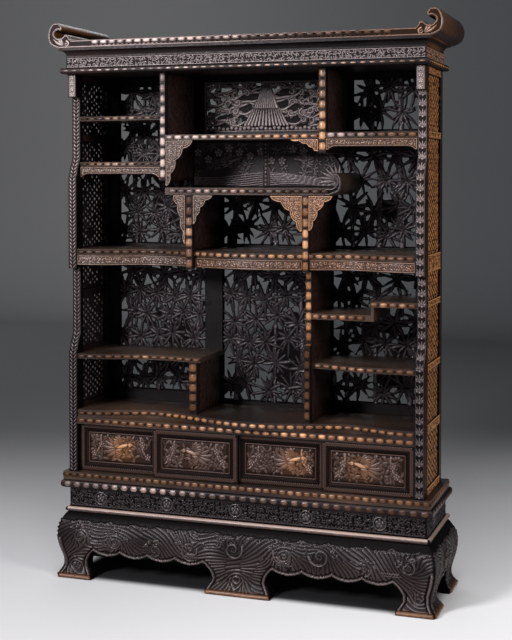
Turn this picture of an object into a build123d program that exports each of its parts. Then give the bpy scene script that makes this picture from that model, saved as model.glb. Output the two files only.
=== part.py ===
"""Carved display cabinet: a pierced case of stepped shelves on a footed stand, under a scrolled top.

Frame: millimetres, +Z up, +X to the right of someone facing the cabinet, +Y towards its back.
The origin lies on the floor, at the centre of the whole cabinet's plan.
"""
import os
from math import cos, radians, sin, sqrt

from build123d import *

os.makedirs("parts", exist_ok=True)

# ---------------------------------------------------------------- driving dimensions
# Stand
foot_half = 710.0            # half width over the corner feet
stand_depth = 414.0          # depth over the corner feet
stand_wall = 60.0            # thickness of a leg or apron at the floor
corner_foot = 136.0          # width of a corner foot on the floor
corner_joint = 152.0         # width of a corner leg at its joints with the aprons
centre_foot = 246.0          # width of the centre foot on the floor
centre_joint = 270.0         # width of the centre foot at its joints with the aprons
ankle_in = 20.0              # how far each foot narrows at the ankle
ankle_z = 48.0
foot_lip = 14.0              # upright edge at the bottom of each foot
notch_z = 107.0              # notches between the lobes of the apron edge
lobe_drop = 17.0             # how far each lobe hangs below its notches
front_lobes = 4
side_lobes = 2
arch_shoulder = 8.0          # the first notch, in from the foot's edge on the floor
rear_arch_z = 104.0          # lower edge of the plain back apron
apron_top = 245.0
waist_height = 90.0
waist_inset = 35.0           # waist face behind the feet's outline
waist_wall = 26.0
torus_radius = 8.5
torus_proud = 5.0            # how far the torus centre stands off the waist face
stand_top_thick = 32.0
stand_top_half = 701.0
stand_top_front = 8.0        # behind the feet's front
stand_top_rear = 38.0        # ahead of the feet's back
bead_radius = 14.0           # rounded edge of the stand's top board

# Case
case_half = 669.0
case_setback = 18.0          # case front plane behind the feet's front
case_depth = 305.0
post_thick = 33.0
post_deep = 53.0             # front post, front to back, where it stands forward
rear_post_deep = 39.0
case_height = 1475.0         # posts, from the bottom board to the cornice
bottom_thick = 30.0
bottom_half = 692.0
bottom_front = 5.0           # bottom board ahead of the case front plane
bottom_rear = 32.0           # bottom board behind the case back
back_thick = 17.0
panel_thick = 8.0
side_panel_thick = 10.0

# Shaped front edge of the case posts: heights above the bottom board
post_recess = 33.0
low_flare_rise = 453.0
mid_step_rise = 758.0
high_flare_rise = 1100.0
cap_rise = 1391.0
flare_height = 75.0
flare_lip = 7.0

# Sliding doors
door_height = 180.0
door_thick = 16.0
door_frame = 30.0
door_front_inset = 5.0       # front doors behind the case front plane
track_gap = 3.0              # between the front and rear doors
door_end_gap = 0.5
door_overlap = 28.0          # front door over its neighbour in the left pair
door_seam = 14.0             # second door over the third
door_meet = 6.0              # front door over its neighbour in the right pair
tongue_thick = 6.0
groove_slack = 0.5           # each side of a tongue
groove_deep = 5.0
head_groove_deep = 8.0
head_tongue = 6.0
running_gap = 0.3            # under a tongue
door_panel_thick = 8.0
door_fillet = 5.0            # chamfer round the door panel
door_field_inset = 12.0
door_field_rise = 3.0

# Shelves: (top above the bottom board, thickness)
head_rail_thick = 25.0
counter_thick = 28.0
shelf_left_low = (441.0, 18.0)
shelf_right_low = (443.0, 20.0)
step_low = (619.0, 21.0)
step_high = (666.0, 19.0)
step_x = 479.0
step_riser = 10.0
shelf_long = (830.0, 22.0)
scroll_shelf = (1058.0, 25.0)
shelf_left_mid = (1151.0, 17.0)
shelf_left_high = (1319.0, 16.0)
shelf_centre_high = (1248.0, 18.0)
shelf_right_high = (1252.0, 21.0)
left_low_end_x = -160.0
apron_thick = 12.0
long_apron_height = 38.0
left_apron_height = 28.0
right_apron_height = 30.0
apron_drop = 12.0            # extra height of an apron at its ends
apron_drop_width = 42.0

# Dividers: (left face, right face)
divider_high_left = (-300.0, -281.0)
divider_high_right = (296.0, 320.0)
divider_mid_left = (-201.0, -176.0)
divider_mid_right = (237.0, 258.0)
divider_low_right = (240.0, 260.0)
divider_low_left = (-205.0, -176.0)
high_left_drop = 67.0        # high left divider below the top of the left middle shelf
high_right_drop = 67.0       # high right divider below the centre shelf's top
pendant_drop = 66.0          # pendants below the long shelf's top
low_left_recess = 40.0
low_right_recess = 33.0
low_right_foot_recess = 13.0
low_right_step_rise = 506.0

# Upturned end of the scroll shelf
shelf_scroll_x = 376.0
shelf_scroll_rise = 53.0     # its tip above the shelf's top
shelf_scroll_width = 42.0

# Spandrel brackets: (width, height)
bracket_thick = 14.0
bracket_set = 2.0
niche_left_bracket = (107.0, 167.0)
niche_right_bracket = (109.0, 46.0)
scroll_brackets = {
    "left_outer": (51.0, 183.0),
    "left_inner": (79.0, 107.0),
    "right_inner": (120.0, 128.0),
    "right_outer": (89.0, 124.0),
}

# Long shelves' wavy front edge: distance behind the case front plane
wave_end = 3.0
wave_left_shoulder = 18.0
wave_right_shoulder = 13.0
wave_left_bay = 68.0
wave_right_bay = 48.0
wave_left_divider = 28.0
wave_right_divider = 13.0
wave_belly = -22.0
shoulder_run = 116.0         # shoulder of the wave from the posts
bay_run = 236.0              # deepest bay from the posts

# Back frame windows: how far each stands in from the faces around it, (left, right, below, above)
back_margins = {
    "left_high": (38.0, -8.0, 9.0, 27.0),
    "left_low": (38.0, 36.0, 38.0, 48.0),
    "fan": (40.0, 41.0, 17.0, 20.0),
    "centre_mid": (8.0, 9.0, 9.0, 10.0),
    "centre_low": (8.0, 9.0, 15.0, 45.0),
    "right_top": (19.0, 38.0, 13.0, 20.0),
    "right_mid": (13.0, 38.0, 9.0, 38.0),
    "right_low": (3.0, 38.0, 34.0, 45.0),
}

# Side rails: how far each reaches (below, above) the level that it carries
side_rail_reach = {
    "sill": (0.0, 28.0),
    "counter": (18.0, 14.0),
    "low": (12.0, 12.0),
    "step": (18.0, 6.0),
    "long": (62.0, 0.0),
    "high": (18.0, 6.0),
    "top": (26.0, 0.0),
}

# Fretwork
spray_pitch = 125.0
spray_root = 11.0
leaf_length = 40.0
leaf_width = 15.0
leaves_per_spray = 5
side_hole_pitch = 58.0
fret_margin = 14.0
fan_rays = 9
fan_slot = 70.0
fan_root = 62.0
cloud_inset = 46.0           # cloud slots from the fan panel's ends
cloud_first = 42.0           # lowest cloud slot above the panel's foot
cloud_pitch = 53.0
cloud_rows = 3
cloud_slot = (52.0, 16.0)    # length and width

# Niche back
niche_back_thick = 12.0
niche_stile = 24.0
niche_end_x = 312.0
shoulder_start = 32.0        # rounded shoulder above the scroll shelf
shoulder_width = 66.0
shoulder_height = 108.0

# Cornice and top
cornice_half = 687.0
cornice_thick = 22.0
cornice_proud = 30.0
frieze_half = 672.0
frieze_height = 39.0
frieze_proud = 7.0
frieze_wall = 26.0
cove_height = 33.0
cove_flare = 22.0
cove_fillet = 8.0
top_thick = 28.0
top_proud = 31.0             # top board ahead of the case front plane
top_rear = 68.0              # top board behind the case back
top_flat_half = 636.0        # where the scrolled ends begin
scroll_half = 735.0
scroll_rise = 66.0           # scrolls above the top board

# ---------------------------------------------------------------- derived places
top_y0 = -(stand_depth + top_proud - case_setback) / 2
foot_y0 = top_y0 + top_proud - case_setback
foot_y1 = foot_y0 + stand_depth
case_y0 = foot_y0 + case_setback
case_y1 = case_y0 + case_depth
back_y = case_y1 - back_thick
inner_half = case_half - post_thick
waist_top = apron_top + waist_height
stand_top = waist_top + stand_top_thick
sill_z = stand_top + bottom_thick
head_z = sill_z + door_height
counter_z0 = head_z + head_rail_thick
counter_z = counter_z0 + counter_thick
case_top = sill_z + case_height
cornice_z = case_top + cornice_thick
frieze_z = cornice_z + frieze_height
cove_z = frieze_z + cove_height
top_z = cove_z + top_thick
front_post_y1 = case_y0 + post_deep
rear_post_y0 = case_y1 - rear_post_deep


def level(shelf):
    """(underside, top) of a shelf above the floor, from its rise and thickness."""
    rise, thick = shelf
    return sill_z + rise - thick, sill_z + rise


left_low_under, _ = level(shelf_left_low)
right_low_under, right_low_top = level(shelf_right_low)
step_low_under, step_low_top = level(step_low)
step_high_under, step_high_top = level(step_high)
long_under, long_top = level(shelf_long)
scroll_under, scroll_top = level(scroll_shelf)
_, left_mid_top = level(shelf_left_mid)
centre_high_under, centre_high_top = level(shelf_centre_high)
right_high_under, right_high_top = level(shelf_right_high)


def keep(piece, node):
    """Label a finished piece and write it as one STEP file."""
    piece.part.label = node
    export_step(piece.part, f"parts/{node}.step")


def rectangle(u0, u1, v0, v1, mode=Mode.ADD):
    """Rectangle between two corners of the active sketch."""
    with Locations(((u0 + u1) / 2, (v0 + v1) / 2)):
        Rectangle(u1 - u0, v1 - v0, mode=mode)


def front_plane(y):
    """Upright plane facing the front, with X to the right and Z up."""
    return Plane.XZ.offset(-y)


def smooth(*points):
    """Curve through points, drawn in the active line as arcs that run into each other."""
    guide = Spline(*points, mode=Mode.PRIVATE)
    spans = len(points) - 1
    spots = [guide @ (k / spans) for k in range(spans + 1)]
    ways = [guide % (k / spans) for k in range(spans + 1)]
    for start, end, leave, arrive in zip(spots, spots[1:], ways, ways[1:]):
        chord = end - start
        along = chord.dot(leave + arrive)
        turn = 2 * (1 - leave.dot(arrive))
        reach = chord.dot(chord) / (along + sqrt(along ** 2 + turn * chord.dot(chord)))
        first_corner = start + leave * reach
        second_corner = end - arrive * reach
        joint = (first_corner + second_corner) / 2
        TangentArc(start, joint, tangent=leave)
        TangentArc(joint, end, tangent=second_corner - first_corner)
    return guide


def four_sided(side, half_x, y0, y1):
    """Block whose four faces all follow one curve, mitred at the corners.

    side(edge, inward) draws the curve upwards in the active line and returns it.
    """
    with BuildPart() as block:
        with BuildSketch(Plane.XZ):
            with BuildLine():
                right = side(half_x, -1)
                left = side(-half_x, 1)
                Line(right @ 0, left @ 0)
                Line(right @ 1, left @ 1)
            make_face()
        extrude(amount=y1 - y0, both=True)
        with BuildSketch(Plane.YZ):
            with BuildLine():
                front = side(y0, 1)
                rear = side(y1, -1)
                Line(front @ 0, rear @ 0)
                Line(front @ 1, rear @ 1)
            make_face()
        extrude(amount=half_x * 2, both=True, mode=Mode.INTERSECT)
    return block.part


# ---------------------------------------------------------------- stand: feet and aprons


def cabriole(edge, inward):
    """Foot lip, drawn-in ankle and swelling apron."""
    lip = Line((edge, 0), (edge, foot_lip))
    profile = [
        (ankle_in, ankle_z),
        (ankle_in * 0.45, ankle_z + 58),
        (0.4, apron_top - 78),
        (8, apron_top - 35),
        (30, apron_top),
    ]
    points = [(edge + inward * inset, z) for inset, z in profile]
    swell = smooth(lip @ 1, *points)
    return Wire([lip, swell])


stand_block = four_sided(cabriole, foot_half, foot_y0, foot_y1)


def foot_edge(u, side):
    """Edge of a foot beside an opening, from the floor to its first notch; side is +1 at the left foot."""
    return smooth(
        (u, 0),
        (u - side, foot_lip),
        (u - side * ankle_in, ankle_z),
        (u - side * 8, notch_z - 18),
        (u + side * arch_shoulder, notch_z),
    )


def arch(u0, u1, lobes):
    """Opening between two feet, under an apron edge of hanging lobes."""
    with BuildSketch() as opening:
        with BuildLine():
            start = foot_edge(u0, 1)
            end = foot_edge(u1, -1)
            width = (u1 - u0 - 2 * arch_shoulder) / lobes
            for k in range(lobes):
                a = u0 + arch_shoulder + k * width
                ThreePointArc((a, notch_z), (a + width / 2, notch_z - lobe_drop), (a + width, notch_z))
            Line(start @ 0, end @ 0)
        make_face()
    return opening.sketch


corner_foot_x = foot_half - corner_foot
centre_foot_x = centre_foot / 2

with BuildPart() as stand_shell:
    add(stand_block)
    with BuildSketch(Plane.XY):
        rectangle(-foot_half + stand_wall, foot_half - stand_wall, foot_y0 + stand_wall, foot_y1 - stand_wall)
    extrude(amount=apron_top, mode=Mode.SUBTRACT)
    with BuildSketch(front_plane(foot_y0 - 1)):
        add(arch(centre_foot_x, corner_foot_x, front_lobes))
        add(arch(-corner_foot_x, -centre_foot_x, front_lobes))
    extrude(amount=-(stand_wall + 2), mode=Mode.SUBTRACT)
    with BuildSketch(front_plane(foot_y1 - stand_wall - 1)):
        rectangle(-corner_foot_x, corner_foot_x, 0, rear_arch_z)
    extrude(amount=-(stand_wall + 2), mode=Mode.SUBTRACT)
    with BuildSketch(Plane.YZ.offset(-foot_half - 1)):
        add(arch(foot_y0 + corner_foot, foot_y1 - corner_foot, side_lobes))
    extrude(amount=2 * foot_half + 2, mode=Mode.SUBTRACT)


def cut_from_stand(u0, u1, y0, y1):
    """Part of the stand's ring that lies between two corners in plan."""
    with BuildPart() as piece:
        add(stand_shell.part)
        with BuildSketch(Plane.XY):
            rectangle(u0, u1, y0, y1)
        extrude(amount=apron_top, mode=Mode.INTERSECT)
    return piece


leg_x = foot_half - corner_joint
leg_y0 = foot_y0 + corner_joint
leg_y1 = foot_y1 - corner_joint
far = foot_half + 1
leg_spans = {
    "base_leg_front_left": (-far, -leg_x, foot_y0 - 1, leg_y0),
    "base_leg_front_right": (leg_x, far, foot_y0 - 1, leg_y0),
    "base_leg_rear_left": (-far, -leg_x, leg_y1, foot_y1 + 1),
    "base_leg_rear_right": (leg_x, far, leg_y1, foot_y1 + 1),
}
for node, span in leg_spans.items():
    keep(cut_from_stand(*span), node)

centre_x = centre_joint / 2
keep(cut_from_stand(-centre_x, centre_x, foot_y0 - 1, leg_y0), "base_centre_foot")
keep(cut_from_stand(-leg_x, leg_x, leg_y1, foot_y1 + 1), "base_apron_back")

left_apron = cut_from_stand(-leg_x, -centre_x, foot_y0 - 1, leg_y0)
right_apron = cut_from_stand(centre_x, leg_x, foot_y0 - 1, leg_y0)
with BuildPart() as base_aprons_front:
    add(left_apron.part)
    add(right_apron.part)
keep(base_aprons_front, "base_aprons_front")

left_side = cut_from_stand(-far, -leg_x, leg_y0, leg_y1)
right_side = cut_from_stand(leg_x, far, leg_y0, leg_y1)
with BuildPart() as base_aprons_side:
    add(left_side.part)
    add(right_side.part)
keep(base_aprons_side, "base_aprons_side")


# ---------------------------------------------------------------- stand: waist and top
def waist_side(edge, inward):
    """Torus at the foot of a flat frieze; edge is the frieze's face."""
    torus_x = edge - inward * torus_proud
    low = Line((edge, apron_top), (torus_x, apron_top))
    roll = ThreePointArc(
        low @ 1,
        (torus_x - inward * torus_radius, apron_top + torus_radius),
        (torus_x, apron_top + 2 * torus_radius),
    )
    ledge = Line(roll @ 1, (edge, apron_top + 2 * torus_radius))
    face = Line(ledge @ 1, (edge, waist_top))
    return Wire([low, roll, ledge, face])


waist_half = foot_half - waist_inset
waist_y0 = foot_y0 + waist_inset
waist_y1 = foot_y1 - waist_inset

with BuildPart() as base_waist:
    add(four_sided(waist_side, waist_half, waist_y0, waist_y1))
    with BuildSketch(Plane.XY.offset(apron_top)):
        rectangle(-waist_half + waist_wall, waist_half - waist_wall, waist_y0 + waist_wall, waist_y1 - waist_wall)
    extrude(amount=waist_height, mode=Mode.SUBTRACT)
keep(base_waist, "base_waist")

with BuildPart() as base_top_board:
    with BuildSketch(Plane.XY.offset(waist_top)):
        rectangle(-stand_top_half, stand_top_half, foot_y0 + stand_top_front, foot_y1 - stand_top_rear)
    extrude(amount=stand_top_thick)
    rims = base_top_board.faces().sort_by(Axis.Z)
    fillet(rims[0].edges() + rims[-1].edges(), radius=bead_radius)
keep(base_top_board, "base_top_board")


# ---------------------------------------------------------------- case: bottom board and door tracks
front_track_y = case_y0 + door_front_inset + door_thick / 2
rear_track_y = front_track_y + door_thick + track_gap
groove_half = tongue_thick / 2 + groove_slack


def track_grooves():
    """Plan of the two door grooves, in the active sketch."""
    for y in (front_track_y, rear_track_y):
        rectangle(-inner_half, inner_half, y - groove_half, y + groove_half)


with BuildPart() as bottom_board:
    with BuildSketch(Plane.XY.offset(stand_top)):
        rectangle(-bottom_half, bottom_half, case_y0 - bottom_front, case_y1 + bottom_rear)
    extrude(amount=bottom_thick)
    with BuildSketch(Plane.XY.offset(sill_z)):
        track_grooves()
    extrude(amount=-groove_deep, mode=Mode.SUBTRACT)
keep(bottom_board, "bottom_board")

with BuildPart() as door_head_board:
    with BuildSketch(Plane.XY.offset(head_z)):
        rectangle(-inner_half, inner_half, case_y0, back_y)
    extrude(amount=head_rail_thick)
    with BuildSketch(Plane.XY.offset(head_z)):
        track_grooves()
    extrude(amount=head_groove_deep, mode=Mode.SUBTRACT)
keep(door_head_board, "door_head_board")


# ---------------------------------------------------------------- case: posts
low_flare_z = sill_z + low_flare_rise
mid_step_z = sill_z + mid_step_rise
high_flare_z = sill_z + high_flare_rise
cap_z = sill_z + cap_rise


def flare(z):
    """Front edge that sweeps back from a small lip to the full recess."""
    return Spline(
        (case_y0 + flare_lip, z),
        (case_y0 + flare_lip + 5, z + flare_height * 0.35),
        (case_y0 + post_recess - 4, z + flare_height * 0.75),
        (case_y0 + post_recess, z + flare_height),
    )


def front_post_outline():
    """Shaped outline of a front post, seen from the side."""
    with BuildSketch() as outline:
        with BuildLine():
            low = Line((case_y0, sill_z), (case_y0, low_flare_z))
            first = flare(low_flare_z)
            Line(low @ 1, first @ 0)
            lower = Line(first @ 1, (case_y0 + post_recess, mid_step_z))
            middle = Line((case_y0, mid_step_z), (case_y0, high_flare_z))
            Line(lower @ 1, middle @ 0)
            second = flare(high_flare_z)
            Line(middle @ 1, second @ 0)
            upper = Line(second @ 1, (case_y0 + post_recess, cap_z))
            Polyline(
                upper @ 1,
                (case_y0, cap_z),
                (case_y0, case_top),
                (front_post_y1, case_top),
                (front_post_y1, sill_z),
                low @ 0,
            )
        make_face()
    return outline.sketch


for node, x in (("post_front_left", -case_half), ("post_front_right", inner_half)):
    with BuildPart() as post:
        with BuildSketch(Plane.YZ.offset(x)):
            add(front_post_outline())
        extrude(amount=post_thick)
    keep(post, node)

for node, x in (("post_rear_left", -case_half), ("post_rear_right", inner_half)):
    with BuildPart() as post:
        with BuildSketch(Plane.YZ.offset(x)):
            rectangle(rear_post_y0, case_y1, sill_z, case_top)
        extrude(amount=post_thick)
    keep(post, node)

# ---------------------------------------------------------------- case: sides
rail_levels = {
    "sill": sill_z,
    "counter": counter_z,
    "low": right_low_top,
    "step": step_high_top,
    "long": long_top,
    "high": centre_high_top,
    "top": case_top,
}
side_rails = [
    (rail_levels[name] - below, rail_levels[name] + above)
    for name, (below, above) in side_rail_reach.items()
]
side_y0 = front_post_y1
side_y1 = rear_post_y0


def lozenge(u, v, length, width, turn):
    """Four-sided leaf-shaped hole, widest a third of the way along."""
    with Locations(Location((u, v, 0), (0, 0, turn))):
        Polygon(
            (0, 0), (length * 0.35, -width / 2), (length, 0), (length * 0.35, width / 2),
            align=None,
            mode=Mode.SUBTRACT,
        )


def side_fretwork(v0, v1):
    """Rows of slanting holes in a side panel, in the active sketch."""
    columns = 3
    rows = int((v1 - v0 - 2 * fret_margin) // side_hole_pitch)
    pitch_u = (side_y1 - side_y0 - 2 * fret_margin) / columns
    for row in range(rows):
        v = (v0 + v1) / 2 + (row - (rows - 1) / 2) * side_hole_pitch
        for column in range(columns):
            u = side_y0 + fret_margin + (column + 0.5) * pitch_u
            turn = 55 if (row + column) % 2 else 125
            start_u = u - cos(radians(turn)) * leaf_length / 2
            start_v = v - sin(radians(turn)) * leaf_length / 2
            lozenge(start_u, start_v, leaf_length, leaf_width, turn)


for side, x0 in (("left", -case_half), ("right", inner_half)):
    with BuildPart() as rails:
        with BuildSketch(Plane.YZ.offset(x0)):
            for z0, z1 in side_rails:
                rectangle(side_y0, side_y1, z0, z1)
        extrude(amount=post_thick)
    keep(rails, f"side_rails_{side}")
    panel_x = x0 + (post_thick - side_panel_thick) / 2
    with BuildPart() as panels:
        with BuildSketch(Plane.YZ.offset(panel_x)):
            for (_, z0), (z1, _) in zip(side_rails, side_rails[1:]):
                rectangle(side_y0, side_y1, z0, z1)
                side_fretwork(z0, z1)
        extrude(amount=side_panel_thick)
    keep(panels, f"side_panels_{side}")

# ---------------------------------------------------------------- case: back
back_bays = {
    "left_high": (-inner_half, divider_high_left[0], long_top, case_top),
    "left_low": (-inner_half, divider_mid_left[0], counter_z, long_under),
    "fan": (divider_high_left[1], divider_high_right[0], centre_high_top, case_top),
    "centre_mid": (divider_mid_left[1], divider_mid_right[0], long_top, scroll_under),
    "centre_low": (divider_mid_left[1], divider_mid_right[0], counter_z, long_under),
    "right_top": (divider_high_right[1], inner_half, right_high_top, case_top),
    "right_mid": (divider_mid_right[1], inner_half, long_top, right_high_under),
    "right_low": (divider_low_right[1], inner_half, counter_z, long_under),
}
back_windows = {}
for name, (left, right, below, above) in back_margins.items():
    u0, u1, v0, v1 = back_bays[name]
    back_windows[name] = (u0 + left, u1 - right, v0 + below, v1 - above)

with BuildPart() as back_frame:
    with BuildSketch(front_plane(back_y)):
        rectangle(-inner_half, inner_half, sill_z, case_top)
        for window in back_windows.values():
            rectangle(*window, mode=Mode.SUBTRACT)
    extrude(amount=-back_thick)
keep(back_frame, "back_frame")


def spray(u, v, turn):
    """Leaves fanning out from one joint of the cane, as holes in the active sketch."""
    for k in range(leaves_per_spray):
        angle = turn + k * 360 / leaves_per_spray
        start_u = u + cos(radians(angle)) * spray_root
        start_v = v + sin(radians(angle)) * spray_root
        lozenge(start_u, start_v, leaf_length, leaf_width, angle)


def bamboo_fretwork(u0, u1, v0, v1):
    """Rows of leaf sprays that fill a pierced panel, in the active sketch."""
    columns = max(1, int((u1 - u0) // spray_pitch))
    rows = max(1, int((v1 - v0) // spray_pitch))
    pitch_u = (u1 - u0) / columns
    pitch_v = (v1 - v0) / rows
    for row in range(rows):
        for column in range(columns):
            turn = 90 if (row + column) % 2 else -90
            spray(u0 + (column + 0.5) * pitch_u, v0 + (row + 0.5) * pitch_v, turn)


panel_y = back_y + (back_thick - panel_thick) / 2
panel_groups = {
    "back_panels_left": ("left_low", "left_high"),
    "back_panels_centre": ("centre_low", "centre_mid"),
    "back_panels_right": ("right_low", "right_mid", "right_top"),
}
for node, names in panel_groups.items():
    with BuildPart() as panels:
        with BuildSketch(front_plane(panel_y)):
            for name in names:
                rectangle(*back_windows[name])
                bamboo_fretwork(*back_windows[name])
        extrude(amount=-panel_thick)
    keep(panels, node)

fan_u0, fan_u1, fan_v0, fan_v1 = back_windows["fan"]
fan_u = (fan_u0 + fan_u1) / 2
with BuildPart() as back_panel_fan:
    with BuildSketch(front_plane(panel_y)):
        rectangle(fan_u0, fan_u1, fan_v0, fan_v1)
        for k in range(fan_rays):
            angle = 180 * (k + 0.5) / fan_rays
            start_u = fan_u + cos(radians(angle)) * fan_root
            start_v = fan_v0 + fret_margin + sin(radians(angle)) * fan_root
            lozenge(start_u, start_v, fan_slot, leaf_width, angle)
        for u in (fan_u0 + cloud_inset, fan_u1 - cloud_inset):
            for row in range(cloud_rows):
                with Locations((u, fan_v0 + cloud_first + row * cloud_pitch)):
                    SlotOverall(*cloud_slot, mode=Mode.SUBTRACT)
    extrude(amount=-panel_thick)
keep(back_panel_fan, "back_panel_fan")


# ---------------------------------------------------------------- shelves
def wave(setback=0.0):
    """Wavy front edge of the long shelves, across the case, in the active line."""
    points = [
        (-inner_half, wave_end),
        (-inner_half + shoulder_run, wave_left_shoulder),
        (-inner_half + bay_run, wave_left_bay),
        (divider_mid_left[1], wave_left_divider),
        (0, wave_belly),
        (divider_mid_right[1], wave_right_divider),
        (inner_half - bay_run, wave_right_bay),
        (inner_half - shoulder_run, wave_right_shoulder),
        (inner_half, wave_end),
    ]
    return Spline(*[(x, case_y0 + recess + setback) for x, recess in points])


def wavy_board(setback=0.0):
    """Plan of a long shelf, from its wavy front edge to the back frame."""
    with BuildSketch() as plan:
        with BuildLine():
            front = wave(setback)
            Polyline(front @ 1, (inner_half, back_y), (-inner_half, back_y), front @ 0)
        make_face()
    return plan.sketch


def fronted_board(front_points):
    """Plan of a shelf whose front edge is a curve through (x, recess) points."""
    points = [(x, case_y0 + recess) for x, recess in front_points]
    with BuildSketch() as plan:
        with BuildLine():
            front = Spline(*points) if len(points) > 2 else Line(*points)
            Polyline(front @ 1, (points[-1][0], back_y), (points[0][0], back_y), front @ 0)
        make_face()
    return plan.sketch


with BuildPart() as counter_shelf:
    with BuildSketch(Plane.XY.offset(counter_z0)):
        add(wavy_board())
    extrude(amount=counter_thick)
keep(counter_shelf, "counter_shelf")

with BuildPart() as long_shelf:
    with BuildSketch(Plane.XY.offset(long_under)):
        add(wavy_board())
        pendants = ((divider_mid_left, wave_left_divider), (divider_mid_right, wave_right_divider))
        for (x0, x1), recess in pendants:
            rectangle(x0, x1, top_y0, case_y0 + recess, mode=Mode.SUBTRACT)
    extrude(amount=shelf_long[1])
keep(long_shelf, "long_shelf")

left_run = inner_half + divider_low_left[0]
low_left_front = [
    (-inner_half, wave_end),
    (-inner_half + 0.22 * left_run, low_left_recess - 28),
    (-inner_half + 0.46 * left_run, low_left_recess + 5),
    (-inner_half + 0.71 * left_run, low_left_recess + 18),
    (divider_low_left[0] - 25, low_left_recess + 8),
    (left_low_end_x, low_left_recess - 2),
]
low_right_front = [
    (divider_low_right[1], low_right_recess + 12),
    (divider_low_right[1] + 70, low_right_recess + 5),
    (divider_low_right[1] + 165, wave_end + 5),
    ((divider_low_right[1] + 165 + inner_half) / 2, wave_end - 2),
    (inner_half, wave_end),
]
curved_shelves = {
    "shelf_left_low": (shelf_left_low, low_left_front),
    "shelf_right_low": (shelf_right_low, low_right_front),
    "shelf_left_mid": (shelf_left_mid, [(-inner_half, post_recess - 3), (divider_high_left[0], 0)]),
    "shelf_left_high": (shelf_left_high, [(-inner_half, post_recess), (divider_high_left[0], 0)]),
    "shelf_centre_high": (shelf_centre_high, [(divider_high_left[1], 0), (divider_high_right[0], 0)]),
    "shelf_right_high": (shelf_right_high, [(divider_high_right[1], 0), (inner_half, post_recess)]),
}
for node, (size, front_points) in curved_shelves.items():
    under, top = level(size)
    with BuildPart() as shelf:
        with BuildSketch(Plane.XY.offset(under)):
            add(fronted_board(front_points))
        extrude(amount=top - under)
    keep(shelf, node)

with BuildPart() as stepped_shelf:
    with BuildSketch(front_plane(case_y0 + post_recess)):
        rectangle(divider_low_right[1], step_x + step_riser / 2, step_low_under, step_low_top)
        rectangle(step_x - step_riser / 2, step_x + step_riser / 2, step_low_under, step_high_top)
        rectangle(step_x - step_riser / 2, inner_half, step_high_under, step_high_top)
    extrude(amount=post_recess - (back_y - case_y0))
keep(stepped_shelf, "stepped_shelf")


def curl(x1, z1, width, rise, outer, inner):
    """Two edges of an upturned end, from (width, rise) shares inwards and up from (x1, z1)."""
    outside = smooth(*[(x1 - fx * width, z1 + fz * rise) for fx, fz in outer])
    inside = smooth(*[(x1 - fx * width, z1 + fz * rise) for fx, fz in inner])
    Line(outside @ 1, inside @ 0)
    return outside, inside


with BuildPart() as scroll_shelf_board:
    with BuildSketch(front_plane(case_y0)):
        with BuildLine():
            outside, inside = curl(
                shelf_scroll_x,
                scroll_top,
                shelf_scroll_width,
                shelf_scroll_rise,
                [(0.24, -0.24), (0, 0.36), (0.24, 0.86), (0.7, 1.0)],
                [(0.66, 0.80), (0.42, 0.64), (0.36, 0.36), (0.58, 0.08), (1, 0)],
            )
            Polyline(
                inside @ 1,
                (divider_high_left[1], scroll_top),
                (divider_high_left[1], scroll_under),
                (shelf_scroll_x - shelf_scroll_width, scroll_under),
                outside @ 0,
            )
        make_face()
    extrude(amount=-(back_y - case_y0))
keep(scroll_shelf_board, "scroll_shelf")


# ---------------------------------------------------------------- dividers
def divider(faces, outline, node):
    """Upright board between two faces, with an outline of (y, z) points."""
    with BuildPart() as board:
        with BuildSketch(Plane.YZ.offset(faces[0])):
            Polygon(*outline, align=None)
        extrude(amount=faces[1] - faces[0])
    keep(board, node)


def full_board(z0, z1):
    """Outline of a divider that runs from the case front to the back frame."""
    return [(case_y0, z0), (back_y, z0), (back_y, z1), (case_y0, z1)]


def pendant_board(recess):
    """Outline of a divider whose front corner hangs below the long shelf."""
    return [
        (case_y0, scroll_under),
        (back_y, scroll_under),
        (back_y, long_top),
        (case_y0 + recess, long_top),
        (case_y0 + recess, long_top - pendant_drop),
        (case_y0, long_top - pendant_drop),
    ]


high_left_end = left_mid_top - high_left_drop
high_right_end = centre_high_top - high_right_drop
divider(divider_high_left, full_board(high_left_end, case_top), "divider_high_left")
divider(divider_high_right, full_board(high_right_end, case_top), "divider_high_right")
divider(divider_mid_left, pendant_board(wave_left_divider), "divider_mid_left")
divider(divider_mid_right, pendant_board(wave_right_divider), "divider_mid_right")

low_right_step_z = sill_z + low_right_step_rise
low_right_outline = [
    (case_y0 + low_right_foot_recess, counter_z),
    (case_y0 + low_right_foot_recess, low_right_step_z),
    (case_y0 + low_right_recess, low_right_step_z),
    (case_y0 + low_right_recess, long_under),
    (back_y, long_under),
    (back_y, counter_z),
]
divider(divider_low_right, low_right_outline, "divider_low_right")

low_left_outline = [
    (case_y0 + low_left_recess, counter_z),
    (case_y0 + low_left_recess, left_low_under),
    (back_y, left_low_under),
    (back_y, counter_z),
]
divider(divider_low_left, low_left_outline, "divider_low_left")


# ---------------------------------------------------------------- aprons and brackets
def apron_outline(x0, x1, z, height):
    """Front outline of a shelf apron that drops at both ends."""
    foot = z - height - apron_drop
    with BuildSketch() as outline:
        with BuildLine():
            left = ThreePointArc(
                (x0 + 8, foot),
                (x0 + apron_drop_width * 0.5, foot + apron_drop * 0.75),
                (x0 + apron_drop_width, z - height),
            )
            right = ThreePointArc(
                (x1 - 8, foot),
                (x1 - apron_drop_width * 0.5, foot + apron_drop * 0.75),
                (x1 - apron_drop_width, z - height),
            )
            Line(left @ 1, right @ 1)
            Polyline(left @ 0, (x0, foot), (x0, z), (x1, z), (x1, foot), right @ 0)
        make_face()
    return outline.sketch


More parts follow.
